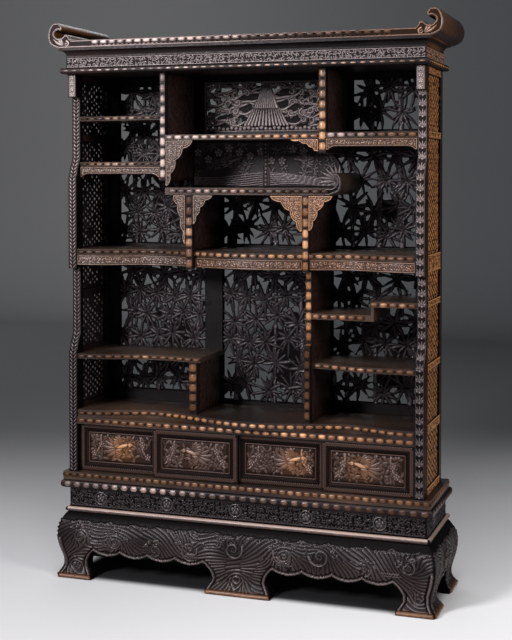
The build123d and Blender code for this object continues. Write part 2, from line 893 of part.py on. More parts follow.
def short_apron(node_shelf, height):
    """Apron under a short shelf, following its slanting front edge."""
    size, ((x0, recess0), (x1, recess1)) = curved_shelves[node_shelf]
    under, _ = level(size)
    with BuildPart() as piece:
        with BuildSketch(Plane.XY):
            Polygon(
                (x0, case_y0 + recess0),
                (x1, case_y0 + recess1),
                (x1, case_y0 + recess1 + apron_thick),
                (x0, case_y0 + recess0 + apron_thick),
                align=None,
            )
        extrude(amount=case_top)
        with BuildSketch(front_plane(case_y0)):
            add(apron_outline(x0, x1, under, height))
        extrude(amount=-case_depth, mode=Mode.INTERSECT)
    return piece.part


left_short_apron = short_apron("shelf_left_mid", left_apron_height)
right_short_apron = short_apron("shelf_right_high", right_apron_height)

with BuildPart() as shelf_aprons:
    with BuildSketch(Plane.XY.offset(long_under)):
        add(wavy_board())
        add(wavy_board(apron_thick), mode=Mode.SUBTRACT)
        for x0, x1 in (divider_mid_left, divider_mid_right):
            rectangle(x0, x1, top_y0, back_y, mode=Mode.SUBTRACT)
    extrude(amount=-long_apron_height)
    add(left_short_apron)
    add(right_short_apron)
keep(shelf_aprons, "shelf_aprons")


def bracket(x, z, width, height, hand):
    """Lobed spandrel below a shelf: (x, z) is its inner corner, hand is +1 to the right."""
    stops = [(1, 0.04), (0.66, 0.2), (0.4, 0.44), (0.21, 0.74), (0.08, 1)]
    lobe = 0.14
    with BuildSketch() as outline:
        with BuildLine():
            corners = [(x + hand * fx * width, z - fz * height) for fx, fz in stops]
            for (u0, v0), (u1, v1) in zip(corners, corners[1:]):
                swell_u = (u0 + u1) / 2 + hand * lobe * abs(v1 - v0)
                swell_v = (v0 + v1) / 2 - lobe * abs(u1 - u0)
                ThreePointArc((u0, v0), (swell_u, swell_v), (u1, v1))
            Polyline(corners[-1], (x, z - height), (x, z), (x + hand * width, z), corners[0])
        make_face()
    return outline.sketch


bracket_y = case_y0 + bracket_set
with BuildPart() as niche_brackets:
    with BuildSketch(front_plane(bracket_y)):
        add(bracket(divider_high_left[1], centre_high_under, *niche_left_bracket, 1))
        add(bracket(divider_high_right[0], centre_high_under, *niche_right_bracket, -1))
    extrude(amount=-bracket_thick)
keep(niche_brackets, "niche_brackets")

with BuildPart() as scroll_shelf_brackets:
    with BuildSketch(front_plane(bracket_y)):
        add(bracket(divider_mid_left[0], scroll_under, *scroll_brackets["left_outer"], -1))
        add(bracket(divider_mid_left[1], scroll_under, *scroll_brackets["left_inner"], 1))
        add(bracket(divider_mid_right[0], scroll_under, *scroll_brackets["right_inner"], -1))
        add(bracket(divider_mid_right[1], scroll_under, *scroll_brackets["right_outer"], 1))
    extrude(amount=-bracket_thick)
keep(scroll_shelf_brackets, "scroll_shelf_brackets")

# ---------------------------------------------------------------- niche back
shoulder_z = scroll_top + shoulder_start
with BuildPart() as niche_back:
    with BuildSketch(front_plane(back_y - niche_back_thick)):
        with BuildLine():
            shoulder = ThreePointArc(
                (niche_end_x, shoulder_z),
                (niche_end_x - shoulder_width * 0.24, shoulder_z + shoulder_height * 0.57),
                (niche_end_x - shoulder_width, shoulder_z + shoulder_height),
            )
            Polyline(
                shoulder @ 1,
                (niche_end_x - shoulder_width, centre_high_under),
                (divider_high_left[1], centre_high_under),
                (divider_high_left[1], scroll_top),
                (niche_end_x, scroll_top),
                shoulder @ 0,
            )
        make_face()
    extrude(amount=-niche_back_thick)
    with BuildSketch(front_plane(back_y - niche_back_thick)):
        rectangle(0, niche_stile, scroll_top, centre_high_under)
    extrude(amount=niche_back_thick / 2)
keep(niche_back, "niche_back")

# ---------------------------------------------------------------- sliding doors
door_laps = door_overlap + door_seam + door_meet
door_width = (2 * inner_half - 2 * door_end_gap + door_laps) / 4
door_z0 = sill_z + 1
door_z1 = head_z - 1
front_y = front_track_y - door_thick / 2
rear_y = rear_track_y - door_thick / 2
second_x = -inner_half + door_end_gap + door_width - door_overlap
third_x = second_x + door_width - door_seam
doors = {
    "door_1": (-inner_half + door_end_gap, rear_y),
    "door_2": (second_x, front_y),
    "door_3": (third_x, rear_y),
    "door_4": (third_x + door_width - door_meet, front_y),
}
for door, (x, y) in doors.items():
    window = (x + door_frame, x + door_width - door_frame, door_z0 + door_frame, door_z1 - door_frame)
    with BuildPart() as frame:
        with BuildSketch(front_plane(y)):
            rectangle(x, x + door_width, door_z0, door_z1)
            rectangle(*window, mode=Mode.SUBTRACT)
        extrude(amount=-door_thick)
        front_face = frame.faces().sort_by(Axis.Y)[0]
        chamfer(front_face.inner_wires()[0].edges(), length=door_fillet)
        with BuildSketch(front_plane(y + (door_thick - tongue_thick) / 2)):
            rectangle(x, x + door_width, sill_z - groove_deep + running_gap, door_z0)
            rectangle(x, x + door_width, door_z1, head_z + head_tongue)
        extrude(amount=-tongue_thick)
    keep(frame, f"{door}_frame")
    panel_front = y + door_fillet + 1
    with BuildPart() as panel:
        with BuildSketch(front_plane(panel_front)):
            rectangle(*window)
        extrude(amount=-door_panel_thick)
        with BuildSketch(front_plane(panel_front)):
            rectangle(
                window[0] + door_field_inset,
                window[1] - door_field_inset,
                window[2] + door_field_inset,
                window[3] - door_field_inset,
            )
        extrude(amount=door_field_rise)
    keep(panel, f"{door}_panel")

# ---------------------------------------------------------------- cornice and top
with BuildPart() as cornice_board:
    with BuildSketch(Plane.XY.offset(case_top)):
        rectangle(-cornice_half, cornice_half, case_y0 - cornice_proud, case_y1 + cornice_proud)
    extrude(amount=cornice_thick)
    rims = cornice_board.faces().sort_by(Axis.Z)
    fillet(rims[0].edges() + rims[-1].edges(), radius=cornice_thick * 0.4)
keep(cornice_board, "cornice_board")

frieze_y0 = case_y0 - frieze_proud
frieze_y1 = case_y1 + frieze_half - case_half
with BuildPart() as cornice_frieze:
    with BuildSketch(Plane.XY.offset(cornice_z)):
        rectangle(-frieze_half, frieze_half, frieze_y0, frieze_y1)
        rectangle(
            -frieze_half + frieze_wall,
            frieze_half - frieze_wall,
            frieze_y0 + frieze_wall,
            frieze_y1 - frieze_wall,
            mode=Mode.SUBTRACT,
        )
    extrude(amount=frieze_height)
keep(cornice_frieze, "cornice_frieze")


def cove_side(edge, inward):
    """Hollow moulding that flares out and up to a small fillet; edge is the frieze's face."""
    lip_x = edge - inward * cove_flare
    fillet_z = cove_z - cove_fillet
    hollow = ThreePointArc(
        (edge, frieze_z),
        (edge - inward * cove_flare * 0.22, frieze_z + (fillet_z - frieze_z) * 0.72),
        (lip_x + inward * 3, fillet_z),
    )
    lip = Polyline(hollow @ 1, (lip_x, fillet_z), (lip_x, cove_z))
    return Wire([hollow, *lip.edges()])


with BuildPart() as cornice_cove:
    add(four_sided(cove_side, frieze_half, frieze_y0, frieze_y1))
    with BuildSketch(Plane.XY.offset(frieze_z)):
        rectangle(
            -frieze_half + frieze_wall,
            frieze_half - frieze_wall,
            frieze_y0 + frieze_wall,
            frieze_y1 - frieze_wall,
        )
    extrude(amount=cove_height, mode=Mode.SUBTRACT)
keep(cornice_cove, "cornice_cove")

top_y1 = case_y1 + top_rear
with BuildPart() as top_board:
    with BuildSketch(Plane.XY.offset(cove_z)):
        rectangle(-top_flat_half, top_flat_half, top_y0, top_y1)
    extrude(amount=top_thick)
keep(top_board, "top_board")

scroll_width = scroll_half - top_flat_half
with BuildPart() as top_scroll_right:
    with BuildSketch(front_plane(top_y0)):
        with BuildLine():
            outside, inside = curl(
                scroll_half,
                top_z,
                scroll_width,
                scroll_rise,
                [(0.13, -0.21), (0, 0.24), (0.08, 0.70), (0.29, 1.0), (0.49, 0.91), (0.58, 0.64)],
                [(0.52, 0.54), (0.38, 0.58), (0.27, 0.45), (0.29, 0.24), (0.45, 0.13), (0.6, 0.18), (0.7, 0.32)],
            )
            eye = smooth(
                inside @ 1,
                (scroll_half - 0.84 * scroll_width, top_z + 0.26 * scroll_rise),
                (scroll_half - 0.92 * scroll_width, top_z + 0.05 * scroll_rise),
                (top_flat_half, top_z),
            )
            heel = smooth(
                (scroll_half - 0.43 * scroll_width, cove_z),
                (scroll_half - 0.27 * scroll_width, cove_z + 0.2 * top_thick),
                outside @ 0,
            )
            Polyline(eye @ 1, (top_flat_half, cove_z), heel @ 0)
        make_face()
    extrude(amount=-(top_y1 - top_y0))
keep(top_scroll_right, "top_scroll_right")

with BuildPart() as top_scroll_left:
    mirror(top_scroll_right.part, about=Plane.YZ)
keep(top_scroll_left, "top_scroll_left")
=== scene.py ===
"""Looks of a carved display cabinet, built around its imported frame.

Sizes are in millimetres, in the frame's own axes, and turn into metres where a mesh is made.
A Field holds the heights of some carving. skin lays it on CAD faces, and slab makes a pierced board of it.
"""

import math

import bpy
import numpy as np
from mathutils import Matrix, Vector
from mathutils.bvhtree import BVHTree


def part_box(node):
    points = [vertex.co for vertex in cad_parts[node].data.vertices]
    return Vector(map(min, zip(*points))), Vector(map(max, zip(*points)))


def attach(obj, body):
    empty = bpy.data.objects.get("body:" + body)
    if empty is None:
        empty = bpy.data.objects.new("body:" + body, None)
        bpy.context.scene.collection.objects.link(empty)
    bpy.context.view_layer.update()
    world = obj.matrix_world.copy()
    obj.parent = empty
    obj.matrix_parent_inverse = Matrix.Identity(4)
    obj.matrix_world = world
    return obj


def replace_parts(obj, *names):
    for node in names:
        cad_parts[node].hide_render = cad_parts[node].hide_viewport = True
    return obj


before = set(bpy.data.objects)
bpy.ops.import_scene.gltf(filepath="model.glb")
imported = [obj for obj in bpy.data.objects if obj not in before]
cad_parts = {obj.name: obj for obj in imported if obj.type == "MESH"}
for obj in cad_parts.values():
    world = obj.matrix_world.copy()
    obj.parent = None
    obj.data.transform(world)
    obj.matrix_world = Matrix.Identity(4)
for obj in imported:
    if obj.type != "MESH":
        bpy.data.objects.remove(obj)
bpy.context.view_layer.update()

MM = 0.001
TURN = 2 * math.pi
FRONT = (0.0, 1.0, 0.0)      # looking directions onto each face
FROM_RIGHT = (-1.0, 0.0, 0.0)
FROM_LEFT = (1.0, 0.0, 0.0)
SIDES = (("front", FRONT, 0), ("left", FROM_LEFT, 1), ("right", FROM_RIGHT, 1))   # name, direction, axis of u
AHEAD = 20.0      # how far before a face its rays start
rng = np.random.default_rng(11)


# ---- the frame
def box(node):
    """Lowest and highest corners of a CAD node, in millimetres."""
    low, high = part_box(node)
    return np.array(low) / MM, np.array(high) / MM


class Surface:
    """The faces of some CAD nodes, to be met by rays."""

    def __init__(self, *nodes):
        points, faces = [], []
        for node in nodes:
            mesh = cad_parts[node].data
            faces += [[len(points) + i for i in p.vertices] for p in mesh.polygons]
            points += [v.co / MM for v in mesh.vertices]
        self.tree = BVHTree.FromPolygons(points, faces)
        boxes = [box(node) for node in nodes]
        self.low, self.high = np.min(boxes, (0, 1)), np.max(boxes, (0, 1))

    def hit(self, start, direction):
        """First point met from start, or None."""
        return self.tree.ray_cast(Vector(start), Vector(direction))[0]

    def behind(self, field, direction):
        """Whether a ray through each grid point meets a face, and where."""
        met = np.zeros(field.h.shape, bool)
        ground = np.zeros((*field.h.shape, 3))
        axis = 0 if direction[0] else 1
        far = self.low[axis] - AHEAD if direction[axis] > 0 else self.high[axis] + AHEAD
        for j, v in enumerate(field.v):
            for i, u in enumerate(field.u):
                found = self.hit((u, far, v) if axis else (far, u, v), direction)
                if found is not None:
                    met[j, i] = True
                    ground[j, i] = found
        return met, ground


def front_edge(node, spots):
    """Points of a node's front that lie at some (x, z)."""
    surface = Surface(node)
    found = [surface.hit((x, surface.low[1] - AHEAD, z), FRONT) for x, z in spots]
    return [p for p in found if p is not None]


def front_line(node, z, x0, x1, step=12.0):
    """Points along a board's front edge at one height, from x0 to x1."""
    return front_edge(node, [(x, z) for x in np.linspace(x0, x1, max(2, int((x1 - x0) / step)))])


def solids(node):
    """Boxes of a node's separate solids, from the lowest left one up."""
    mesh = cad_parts[node].data
    owner = {}

    def root(key):
        while owner[key] != key:
            owner[key] = owner[owner[key]]
            key = owner[key]
        return key

    for face in mesh.polygons:
        keys = [tuple(round(c / MM, 1) for c in mesh.vertices[i].co) for i in face.vertices]
        for key in keys:
            owner.setdefault(key, key)
            owner[root(key)] = root(keys[0])
    groups = {}
    for key in owner:
        groups.setdefault(root(key), []).append(key)
    boxes = [(np.min(g, 0), np.max(g, 0)) for g in groups.values()]
    return sorted(boxes, key=lambda b: (round(b[0][2]), b[0][0]))


# ---- meshes
def show(name, data):
    """New object in the scene."""
    made = bpy.data.objects.new(name, data)
    bpy.context.scene.collection.objects.link(made)
    return made


def smooth_mesh(name, points, faces):
    mesh = bpy.data.meshes.new(name)
    mesh.from_pydata(points, [], faces)
    mesh.polygons.foreach_set("use_smooth", [True] * len(mesh.polygons))
    return mesh


def piece(name, points, faces, slot, relief, gilt, body="case"):
    """Mesh from points in millimetres, riding on a CAD body.

    relief (0 in the hollows, 1 on top) and gilt (golden above 0, pale below, the pale partly a painted sheen)
    are stored at its points.
    """
    mesh = smooth_mesh(name, (np.asarray(points) * MM).tolist(), [list(map(int, f)) for f in faces])
    for key, values in (("relief", relief), ("gilt", gilt)):
        layer = mesh.attributes.new(key, "FLOAT", "POINT")
        layer.data.foreach_set("value", np.broadcast_to(values, len(points)).astype(np.float32))
    mesh.materials.append(looks[slot])
    mesh.update()
    made = show(name, mesh)
    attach(made, body)
    return made


class Heap:
    """Many small shapes gathered into one mesh."""

    def __init__(self):
        self.points, self.faces, self.relief, self.gilt, self.count = [], [], [], [], 0

    def add(self, points, faces, relief, gilt):
        self.points.append(points)
        self.faces.append(np.asarray(faces) + self.count)
        self.relief.append(relief)
        self.gilt.append(np.full(len(points), gilt))
        self.count += len(points)

    def make(self, name, slot):
        faces = [f for group in self.faces for f in group.tolist()]
        relief, gilt = np.concatenate(self.relief), np.concatenate(self.gilt)
        piece(name, np.concatenate(self.points), faces, slot, relief, gilt)


# ---- materials
def put(tree, socket, value):
    """Links a socket to another one, or sets it to a constant."""
    if isinstance(value, bpy.types.NodeSocket):
        tree.links.new(value, socket)
    else:
        socket.default_value = (*value, 1) if socket.type == "RGBA" else value


def node(tree, kind, *sources, **values):
    """Shader node: sources go into its first inputs, and values into the settings and inputs they name."""
    made = tree.nodes.new(kind)
    for key, value in values.items():
        if hasattr(made, key):
            setattr(made, key, value)
        else:
            put(tree, made.inputs[key.replace("_", " ")], value)
    for socket, value in zip(made.inputs, sources):
        put(tree, socket, value)
    return made


def mix_colour(tree, factor, a, b):
    """Colour a where factor is 0 and b where it is 1; each is a colour or a socket."""
    made = node(tree, "ShaderNodeMix", factor, data_type="RGBA")
    put(tree, made.inputs[6], a)
    put(tree, made.inputs[7], b)
    return made.outputs[2]


def held(tree, kind, a, b):
    """Result of a math node on two values or sockets, held between 0 and 1."""
    return node(tree, "ShaderNodeMath", a, b, operation=kind, use_clamp=True).outputs[0]


def times(tree, a, b):
    return held(tree, "MULTIPLY", a, b)


def plus(tree, a, b):
    return held(tree, "ADD", a, b)


def size_of(tree, value):
    """Distance of a value from 0."""
    return node(tree, "ShaderNodeMath", value, operation="ABSOLUTE").outputs[0]


def between(tree, value, low, high):
    """0 below low, 1 above high, and smooth between."""
    return node(tree, "ShaderNodeMapRange", value, interpolation_type="SMOOTHSTEP",
                From_Min=low, From_Max=high).outputs[0]


def spread_over(tree, value, low, high, first, last):
    """first below low, last above high, and straight between."""
    made = node(tree, "ShaderNodeMapRange", value, From_Min=low, From_Max=high, To_Min=first, To_Max=last)
    return made.outputs[0]


def place_of(tree, kind="Object"):
    """X, Y and Z sockets of the object's own place, or of its normal."""
    return node(tree, "ShaderNodeSeparateXYZ", node(tree, "ShaderNodeTexCoord").outputs[kind]).outputs


def noise(tree, scale, detail, stretch=(1, 1, 1)):
    """Noise in the object's own place, finer along the axes with the larger stretch."""
    place = node(tree, "ShaderNodeTexCoord").outputs["Object"]
    mapping = node(tree, "ShaderNodeMapping", place, Scale=stretch)
    made = node(tree, "ShaderNodeTexNoise", mapping.outputs[0], Scale=scale, Detail=detail, Roughness=0.6)
    return made.outputs["Fac"]


def new_material(name):
    """Material with its node tree and the inputs of its shader."""
    material = bpy.data.materials.new(name)
    material.use_nodes = True
    tree = material.node_tree
    return material, tree, tree.nodes["Principled BSDF"].inputs


def golden_and_painted_light_sides(tree):
    """1 on the outer faces of the case's two sides, 0 elsewhere; the golden tone it adds there is partly the
    wood's and partly painted warm light.
    """
    place, normal = place_of(tree), place_of(tree, "Normal")
    outward = between(tree, size_of(tree, normal["X"]), 0.6, 0.9)
    outer = between(tree, size_of(tree, place["X"]), SIDE_X * MM - 0.003, SIDE_X * MM - 0.001)
    above = between(tree, place["Z"], STAND_TOP * MM, STAND_TOP * MM + 0.004)
    return times(tree, times(tree, outward, outer), above)


def wood(name, dark, wear, rough=0.40, stretch=(6, 60, 60), carved=True, sheen_top=0.75):
    """Stained hardwood, lighter where it stands proud; dark holds its deep, body and worn tones. Gilt below 0
    turns it pale, partly a painted sheen, and the case's outer sides turn golden, partly painted warm light;
    plain boards darken deeper in the case as painted shade.
    """
    material, tree, shader = new_material(name)
    gilt = node(tree, "ShaderNodeAttribute", attribute_name="gilt").outputs["Fac"]
    # Gilt below 0 mixes towards the pale tones, partly a painted sheen.
    pale = times(tree, gilt, -1.0)
    # The case's outer sides turn golden: partly the wood's tone, partly painted warm light.
    gilt = plus(tree, gilt, golden_and_painted_light_sides(tree))
    deep, body, worn = (mix_colour(tree, pale, mix_colour(tree, gilt, a, b), c)
                        for a, b, c in zip(dark, GOLDEN, PALE_AND_SHEEN))
    grain = noise(tree, 5.0, 5.0, stretch)
    blotch = noise(tree, 2.2, 2.0)
    speck = noise(tree, 90.0, 3.0)
    streaks = between(tree, grain, 0.35, 0.7)
    if carved:
        relief = node(tree, "ShaderNodeAttribute", attribute_name="relief").outputs["Fac"]
        tone = mix_colour(tree, between(tree, relief, 0.04, 0.4), deep, body)
        rub = plus(tree, times(tree, relief, 0.75), times(tree, blotch, 0.3))
        rub = plus(tree, rub, times(tree, streaks, 0.12))
        sheen = spread_over(tree, relief, 0.1, 0.8, 0.03, sheen_top)
    else:
        tone = mix_colour(tree, between(tree, blotch, 0.3, 0.7), deep, body)
        rub = plus(tree, times(tree, blotch, 0.7), times(tree, streaks, 0.3))
        sheen = sheen_top
    rub = plus(tree, rub, times(tree, speck, 0.25))
    tone = mix_colour(tree, between(tree, rub, 1.0 - wear * 0.6, 1.35 - wear * 0.6), tone, worn)
    if not carved:
        # Painted shade: plain boards turn to their deep tone deeper in the case, where its inside lies in
        # shadow.
        painted_interior_shade = between(tree, place_of(tree)["Y"], -0.06, 0.10)
        tone = mix_colour(tree, painted_interior_shade, tone, deep)
    height = plus(tree, times(tree, grain, 0.6), times(tree, speck, 0.4))
    put(tree, shader["Base Color"], tone)
    put(tree, shader["Roughness"], spread_over(tree, speck, 0.3, 0.7, rough - 0.1, rough + 0.14))
    bumps = node(tree, "ShaderNodeBump", Strength=0.35, Distance=0.0012, Height=height)
    put(tree, shader["Normal"], bumps.outputs[0])
    put(tree, shader["Specular IOR Level"], sheen)
    put(tree, shader["Specular Tint"], (1.0, 0.93, 0.98))
    return material


SIDE_X = box("side_rails_right")[1][0]
STAND_TOP = box("bottom_board")[0][2]
DARK = ((0.0020, 0.0015, 0.0018), (0.0120, 0.0078, 0.0085), (0.078, 0.053, 0.055))
INNER = ((0.0020, 0.0015, 0.0018), (0.0110, 0.0080, 0.0096), (0.070, 0.054, 0.062))
FRAME = ((0.0018, 0.0012, 0.0012), (0.0135, 0.0070, 0.0064), (0.064, 0.034, 0.030))
BOARD = ((0.0085, 0.0048, 0.0036), (0.040, 0.022, 0.0135), (0.140, 0.085, 0.055))
UMBER = ((0.0050, 0.0028, 0.0020), (0.030, 0.015, 0.0088), (0.160, 0.086, 0.048))
GOLDEN = ((0.016, 0.007, 0.003), (0.115, 0.045, 0.014), (0.47, 0.215, 0.070))
# Pale tones, where gilt is below 0: partly a paler finish, partly a painted grey sheen.
PALE_AND_SHEEN = ((0.012, 0.008, 0.008), (0.110, 0.080, 0.078), (0.52, 0.42, 0.40))
ALONG_Z = (60, 60, 6)

looks = {
    "carved_wood": wood("carved_wood", DARK, wear=0.4),
    "frame_wood": wood("frame_wood", FRAME, wear=0.25, stretch=ALONG_Z, carved=False, sheen_top=0.12),
    "fretwork_wood": wood("fretwork_wood", INNER, wear=0.55, stretch=ALONG_Z, sheen_top=0.4),
    "shelf_wood": wood("shelf_wood", BOARD, wear=0.4, rough=0.38, carved=False, sheen_top=0.25),
    "worn_carving": wood("worn_carving", UMBER, wear=0.7, sheen_top=1.0),
}
for cad_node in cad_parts.values():
    for k, old in enumerate(cad_node.data.materials):
        known = [name for name in looks if old and name in old.name]
        cad_node.data.materials[k] = looks[known[0] if known else "frame_wood"]


# ---- beads
def barrel(length, deep, high, around=8, along=5):
    """Rounded bead lying along X, with its points, faces and relief."""
    t = np.linspace(0, math.pi, along + 2)[1:-1]
    a = np.arange(around) * TURN / around
    x = -np.cos(t)[:, None] * length / 2 * np.ones(around)
    r = np.sin(t)[:, None] ** 0.28
    rings = np.stack([x, r * np.sin(a) * deep, r * np.cos(a) * high], -1).reshape(-1, 3)
    ends = np.array([[-length / 2, 0, 0], [length / 2, 0, 0]])
    first, last = len(rings), len(rings) + 1
    end_ring = (along - 1) * around
    faces = []
    for k in range(around):
        n = (k + 1) % around
        for j in range(along - 1):
            faces.append([j * around + k, j * around + n, (j + 1) * around + n, (j + 1) * around + k])
        faces.append([first, n, k, k])
        faces.append([last, end_ring + k, end_ring + n, end_ring + n])
    relief = np.concatenate([np.repeat(0.35 + 0.65 * np.sin(t) ** 2, around), [0.1, 0.1]])
    return np.concatenate([rings, ends]), faces, relief


def march(path, pitch):
    """Evenly spaced places along a path, with the direction at each, and their real spacing."""
    path = np.asarray(path, float)
    steps = np.linalg.norm(np.diff(path, axis=0), axis=1)
    run = np.concatenate([[0], np.cumsum(steps)])
    count = max(1, round(run[-1] / pitch))
    at = (np.arange(count) + 0.5) * run[-1] / count
    spots, ahead, behind = (np.stack([np.interp(at + shift, run, path[:, k]) for k in range(3)], -1)
                            for shift in (0, 1, -1))
    way = ahead - behind
    return spots, way / np.linalg.norm(way, axis=1)[:, None], run[-1] / count


def bead_row(heap, path, pitch, deep, high, bright, gap=0.12, up=(0, 0, 1)):
    """Beads with a thin collar between each two along a path; deep is how far they stand off it.

    bright(share) gives (wear, gilt) at a share of the way along; the wear holds a painted highlight too.
    """
    spots, ways, step = march(path, pitch)
    bead = barrel(step * (1 - gap), deep, high)
    collar = barrel(step * gap * 0.5, deep * 0.8, high * 0.9, along=2)
    for k, (spot, way) in enumerate(zip(spots, ways)):
        across = np.cross(way, up)
        across /= np.linalg.norm(across)
        wear, gilt = bright((k + 0.5) / len(spots))
        wear *= 0.8 + 0.2 * math.sin(spot[0] * 12.9 + spot[2] * 7.7)
        for (points, faces, relief), shift, share in ((bead, 0.0, wear), (collar, step / 2, wear * 0.35)):
            turned = points[:, :1] * way + points[:, 1:2] * across + points[:, 2:] * np.cross(across, way)
            heap.add(spot + way * shift + turned, faces, relief * share, gilt)


def half_round(heap, path, radius, relief, gilt, corners=12, stations=40):
    """Plain round moulding along a straight path that follows X or Y."""
    start, end = np.array(path, float)
    a = np.linspace(0, TURN, corners, endpoint=False)
    out = np.abs(end - start)[[1, 0, 2]] / np.abs(end - start).max()
    ring = np.cos(a)[:, None] * radius * out + np.sin(a)[:, None] * radius * np.array([0, 0, 1.0])
    points = np.concatenate([ring + start + (end - start) * s for s in np.linspace(0, 1, stations)])
    pairs = [(k, (k + 1) % corners) for k in range(corners)]
    faces = [[j * corners + k, j * corners + n, (j + 1) * corners + n, (j + 1) * corners + k]
             for j in range(stations - 1) for k, n in pairs]
    # The upper side carries more relief and so a lighter worn tone: partly wear, partly a painted highlight
    # along the top.
    heap.add(points, faces, np.tile(relief * (0.4 + 0.6 * np.clip(np.sin(a), 0, 1)), stations), gilt)


# ---- carving: how high a ridge is at a share s of its length, and at x of its half width
def even(s):
    return np.ones_like(s)


def thinning(s):
    return 1 - 0.7 * s


def leafy(s):
    return np.sin(math.pi * np.clip(s * 0.94 + 0.05, 0, 1)) ** 0.8


def round_top(x):
    return np.sqrt(np.clip(1 - x * x, 0, 1))


def veined(x):
    """Leaf section: highest beside a groove along the middle."""
    return np.clip(1 - x, 0, 1) ** 0.6 - 0.5 * np.exp(-((x / 0.22) ** 2))


class Field:
    """Height of carving over a rectangle; u runs to the right and v up.

    A pierced board has a hole wherever level is 0 or less.
    """

    def __init__(self, u0, u1, v0, v1, pitch, ground=0.0):
        self.u = np.linspace(u0, u1, max(2, round((u1 - u0) / pitch)) + 1)
        self.v = np.linspace(v0, v1, max(2, round((v1 - v0) / pitch)) + 1)
        self.h = np.full((len(self.v), len(self.u)), float(ground))
        self.level = np.full_like(self.h, -1.0)

    def near(self, points, reach):
        """Index ranges and coordinates of the grid points around some points."""
        (u0, v0), (u1, v1) = points.min(0) - reach, points.max(0) + reach
        i0, i1 = np.searchsorted(self.u, (u0, u1))
        j0, j1 = np.searchsorted(self.v, (v0, v1))
        u, v = np.meshgrid(self.u[i0:i1], self.v[j0:j1])
        return (slice(j0, j1), slice(i0, i1)), u, v

    def stroke(self, points, width, height, along=even, across=round_top, clear=0.6):
        """Ridge along a line, half width wide, which cuts a trench into what it crosses."""
        points = np.asarray(points, float)
        steps = np.linalg.norm(np.diff(points, axis=0), axis=1)
        run = np.concatenate([[0], np.cumsum(steps)]) / max(steps.sum(), 1e-9)
        whole, u, v = self.near(points, width * 1.7)
        if u.size == 0:
            return
        nearest = np.full(u.shape, 9.0)
        ridge = np.zeros(u.shape)
        for a, b, s0, s1 in zip(points, points[1:], run, run[1:]):
            d = b - a
            t = np.clip(((u - a[0]) * d[0] + (v - a[1]) * d[1]) / max(d @ d, 1e-9), 0, 1)
            share = along(s0 + (s1 - s0) * t)
            x = np.hypot(u - a[0] - t * d[0], v - a[1] - t * d[1]) / (width * np.maximum(share, 0.05))
            nearest = np.minimum(nearest, x)
            section = across(np.clip(x, 0, 1)) * (x < 1)
            ridge = np.maximum(ridge, height * np.sqrt(np.maximum(share, 0)) * section)
        ring = np.clip((1.6 - nearest) / 0.6, 0, 1) * (nearest >= 1)
        old = self.h[whole] * (1 - clear * ring)
        self.h[whole] = np.where(nearest < 1, np.maximum(ridge, old * (1 - clear)), old)
        self.level[whole] = np.maximum(self.level[whole], 1 - nearest)

    def boss(self, u, v, radius, height, squash=1.0):
        """Round or oval knob."""
        where, gu, gv = self.near(np.array([[u, v]]), radius * 1.3)
        x = np.hypot((gu - u) / radius, (gv - v) / (radius * squash))
        knob = height * round_top(np.clip(x, 0, 1))
        self.h[where] = np.maximum(self.h[where] * np.where(x < 1.3, 0.6, 1), knob)
        self.level[where] = np.maximum(self.level[where], 1 - x)

    def edges(self):
        """Grid coordinates, and the distance to the left, right, lower and upper edge."""
        u, v = np.meshgrid(self.u, self.v)
        return u, v, (u - self.u[0], self.u[-1] - u, v - self.v[0], self.v[-1] - v)


def field_over(low, high, inset, pitch, ground=0.0, axis=0):
    """Field over a box's front, or over its side where axis is 1."""
    return Field(low[axis] + inset, high[axis] - inset, low[2] + inset, high[2] - inset, pitch, ground)


def volute(u, v, radius, start, hand, turns=1.3):
    """Points of a scroll that winds in towards (u, v)."""
    k = np.linspace(0, 1, int(turns * 14) + 2)
    r = radius * (1 - 0.84 * k ** 0.85)
    a = start + hand * TURN * turns * k
    return np.stack([u + r * np.cos(a), v + r * np.sin(a)], -1)


def curve(u, v, angle, length, bend=0.0, steps=6):
    """Points of an arc that leaves (u, v) at an angle and bends through so many radians."""
    k = np.linspace(0, 1, steps + 1)[1:] - 0.5 / steps
    heading = angle + bend * k
    du = np.concatenate([[0], np.cumsum(np.cos(heading))]) * length / steps
    dv = np.concatenate([[0], np.cumsum(np.sin(heading))]) * length / steps
    return np.stack([u + du, v + dv], -1)


def leaf(field, u, v, angle, length, width, height, bend=0.0):
    field.stroke(curve(u, v, angle, length, bend), width / 2, height, leafy, veined)


# ---- carved meshes
def shrink(mask):
    """Grid points whose neighbours all lie within the mask."""
    inner = mask.copy()
    inner[1:] &= mask[:-1]
    inner[:-1] &= mask[1:]
    inner[:, 1:] &= mask[:, :-1]
    inner[:, :-1] &= mask[:, 1:]
    inner[0] = inner[-1] = False
    inner[:, 0] = inner[:, -1] = False
    return inner


def grown(mask):
    """The mask with every grid point that touches it, corners included."""
    more = mask.copy()
    more[1:] |= mask[:-1]
    more[:-1] |= mask[1:]
    wide = more.copy()
    wide[:, 1:] |= more[:, :-1]
    wide[:, :-1] |= more[:, 1:]
    return wide


def cells(mask):
    """Corner indices of the grid cells that lie wholly within the mask."""
    index = np.arange(mask.size).reshape(mask.shape)
    whole = mask[:-1, :-1] & mask[:-1, 1:] & mask[1:, :-1] & mask[1:, 1:]
    corners = (index[:-1, :-1], index[:-1, 1:], index[1:, 1:], index[1:, :-1])
    return np.stack([c[whole] for c in corners], -1)


def used_only(points, faces, *more):
    """Drops the points that no face uses."""
    used = np.unique(faces)
    renumber = np.zeros(len(points), int)
    renumber[used] = np.arange(len(used))
    return points[used], renumber[faces], *(m[used] for m in more)


def border_of(mask, pitch, width, height):
    """Rounded moulding along the mask's edge, as heights, and where it and the groove beside it lie."""
    depth = np.zeros(mask.shape)
    inner = mask
    for _ in range(round(width / pitch) + 2):
        inner = shrink(inner)
        depth += inner
    x = (depth * pitch - width / 2) / (width / 2)
    return height * round_top(x), mask & ~inner


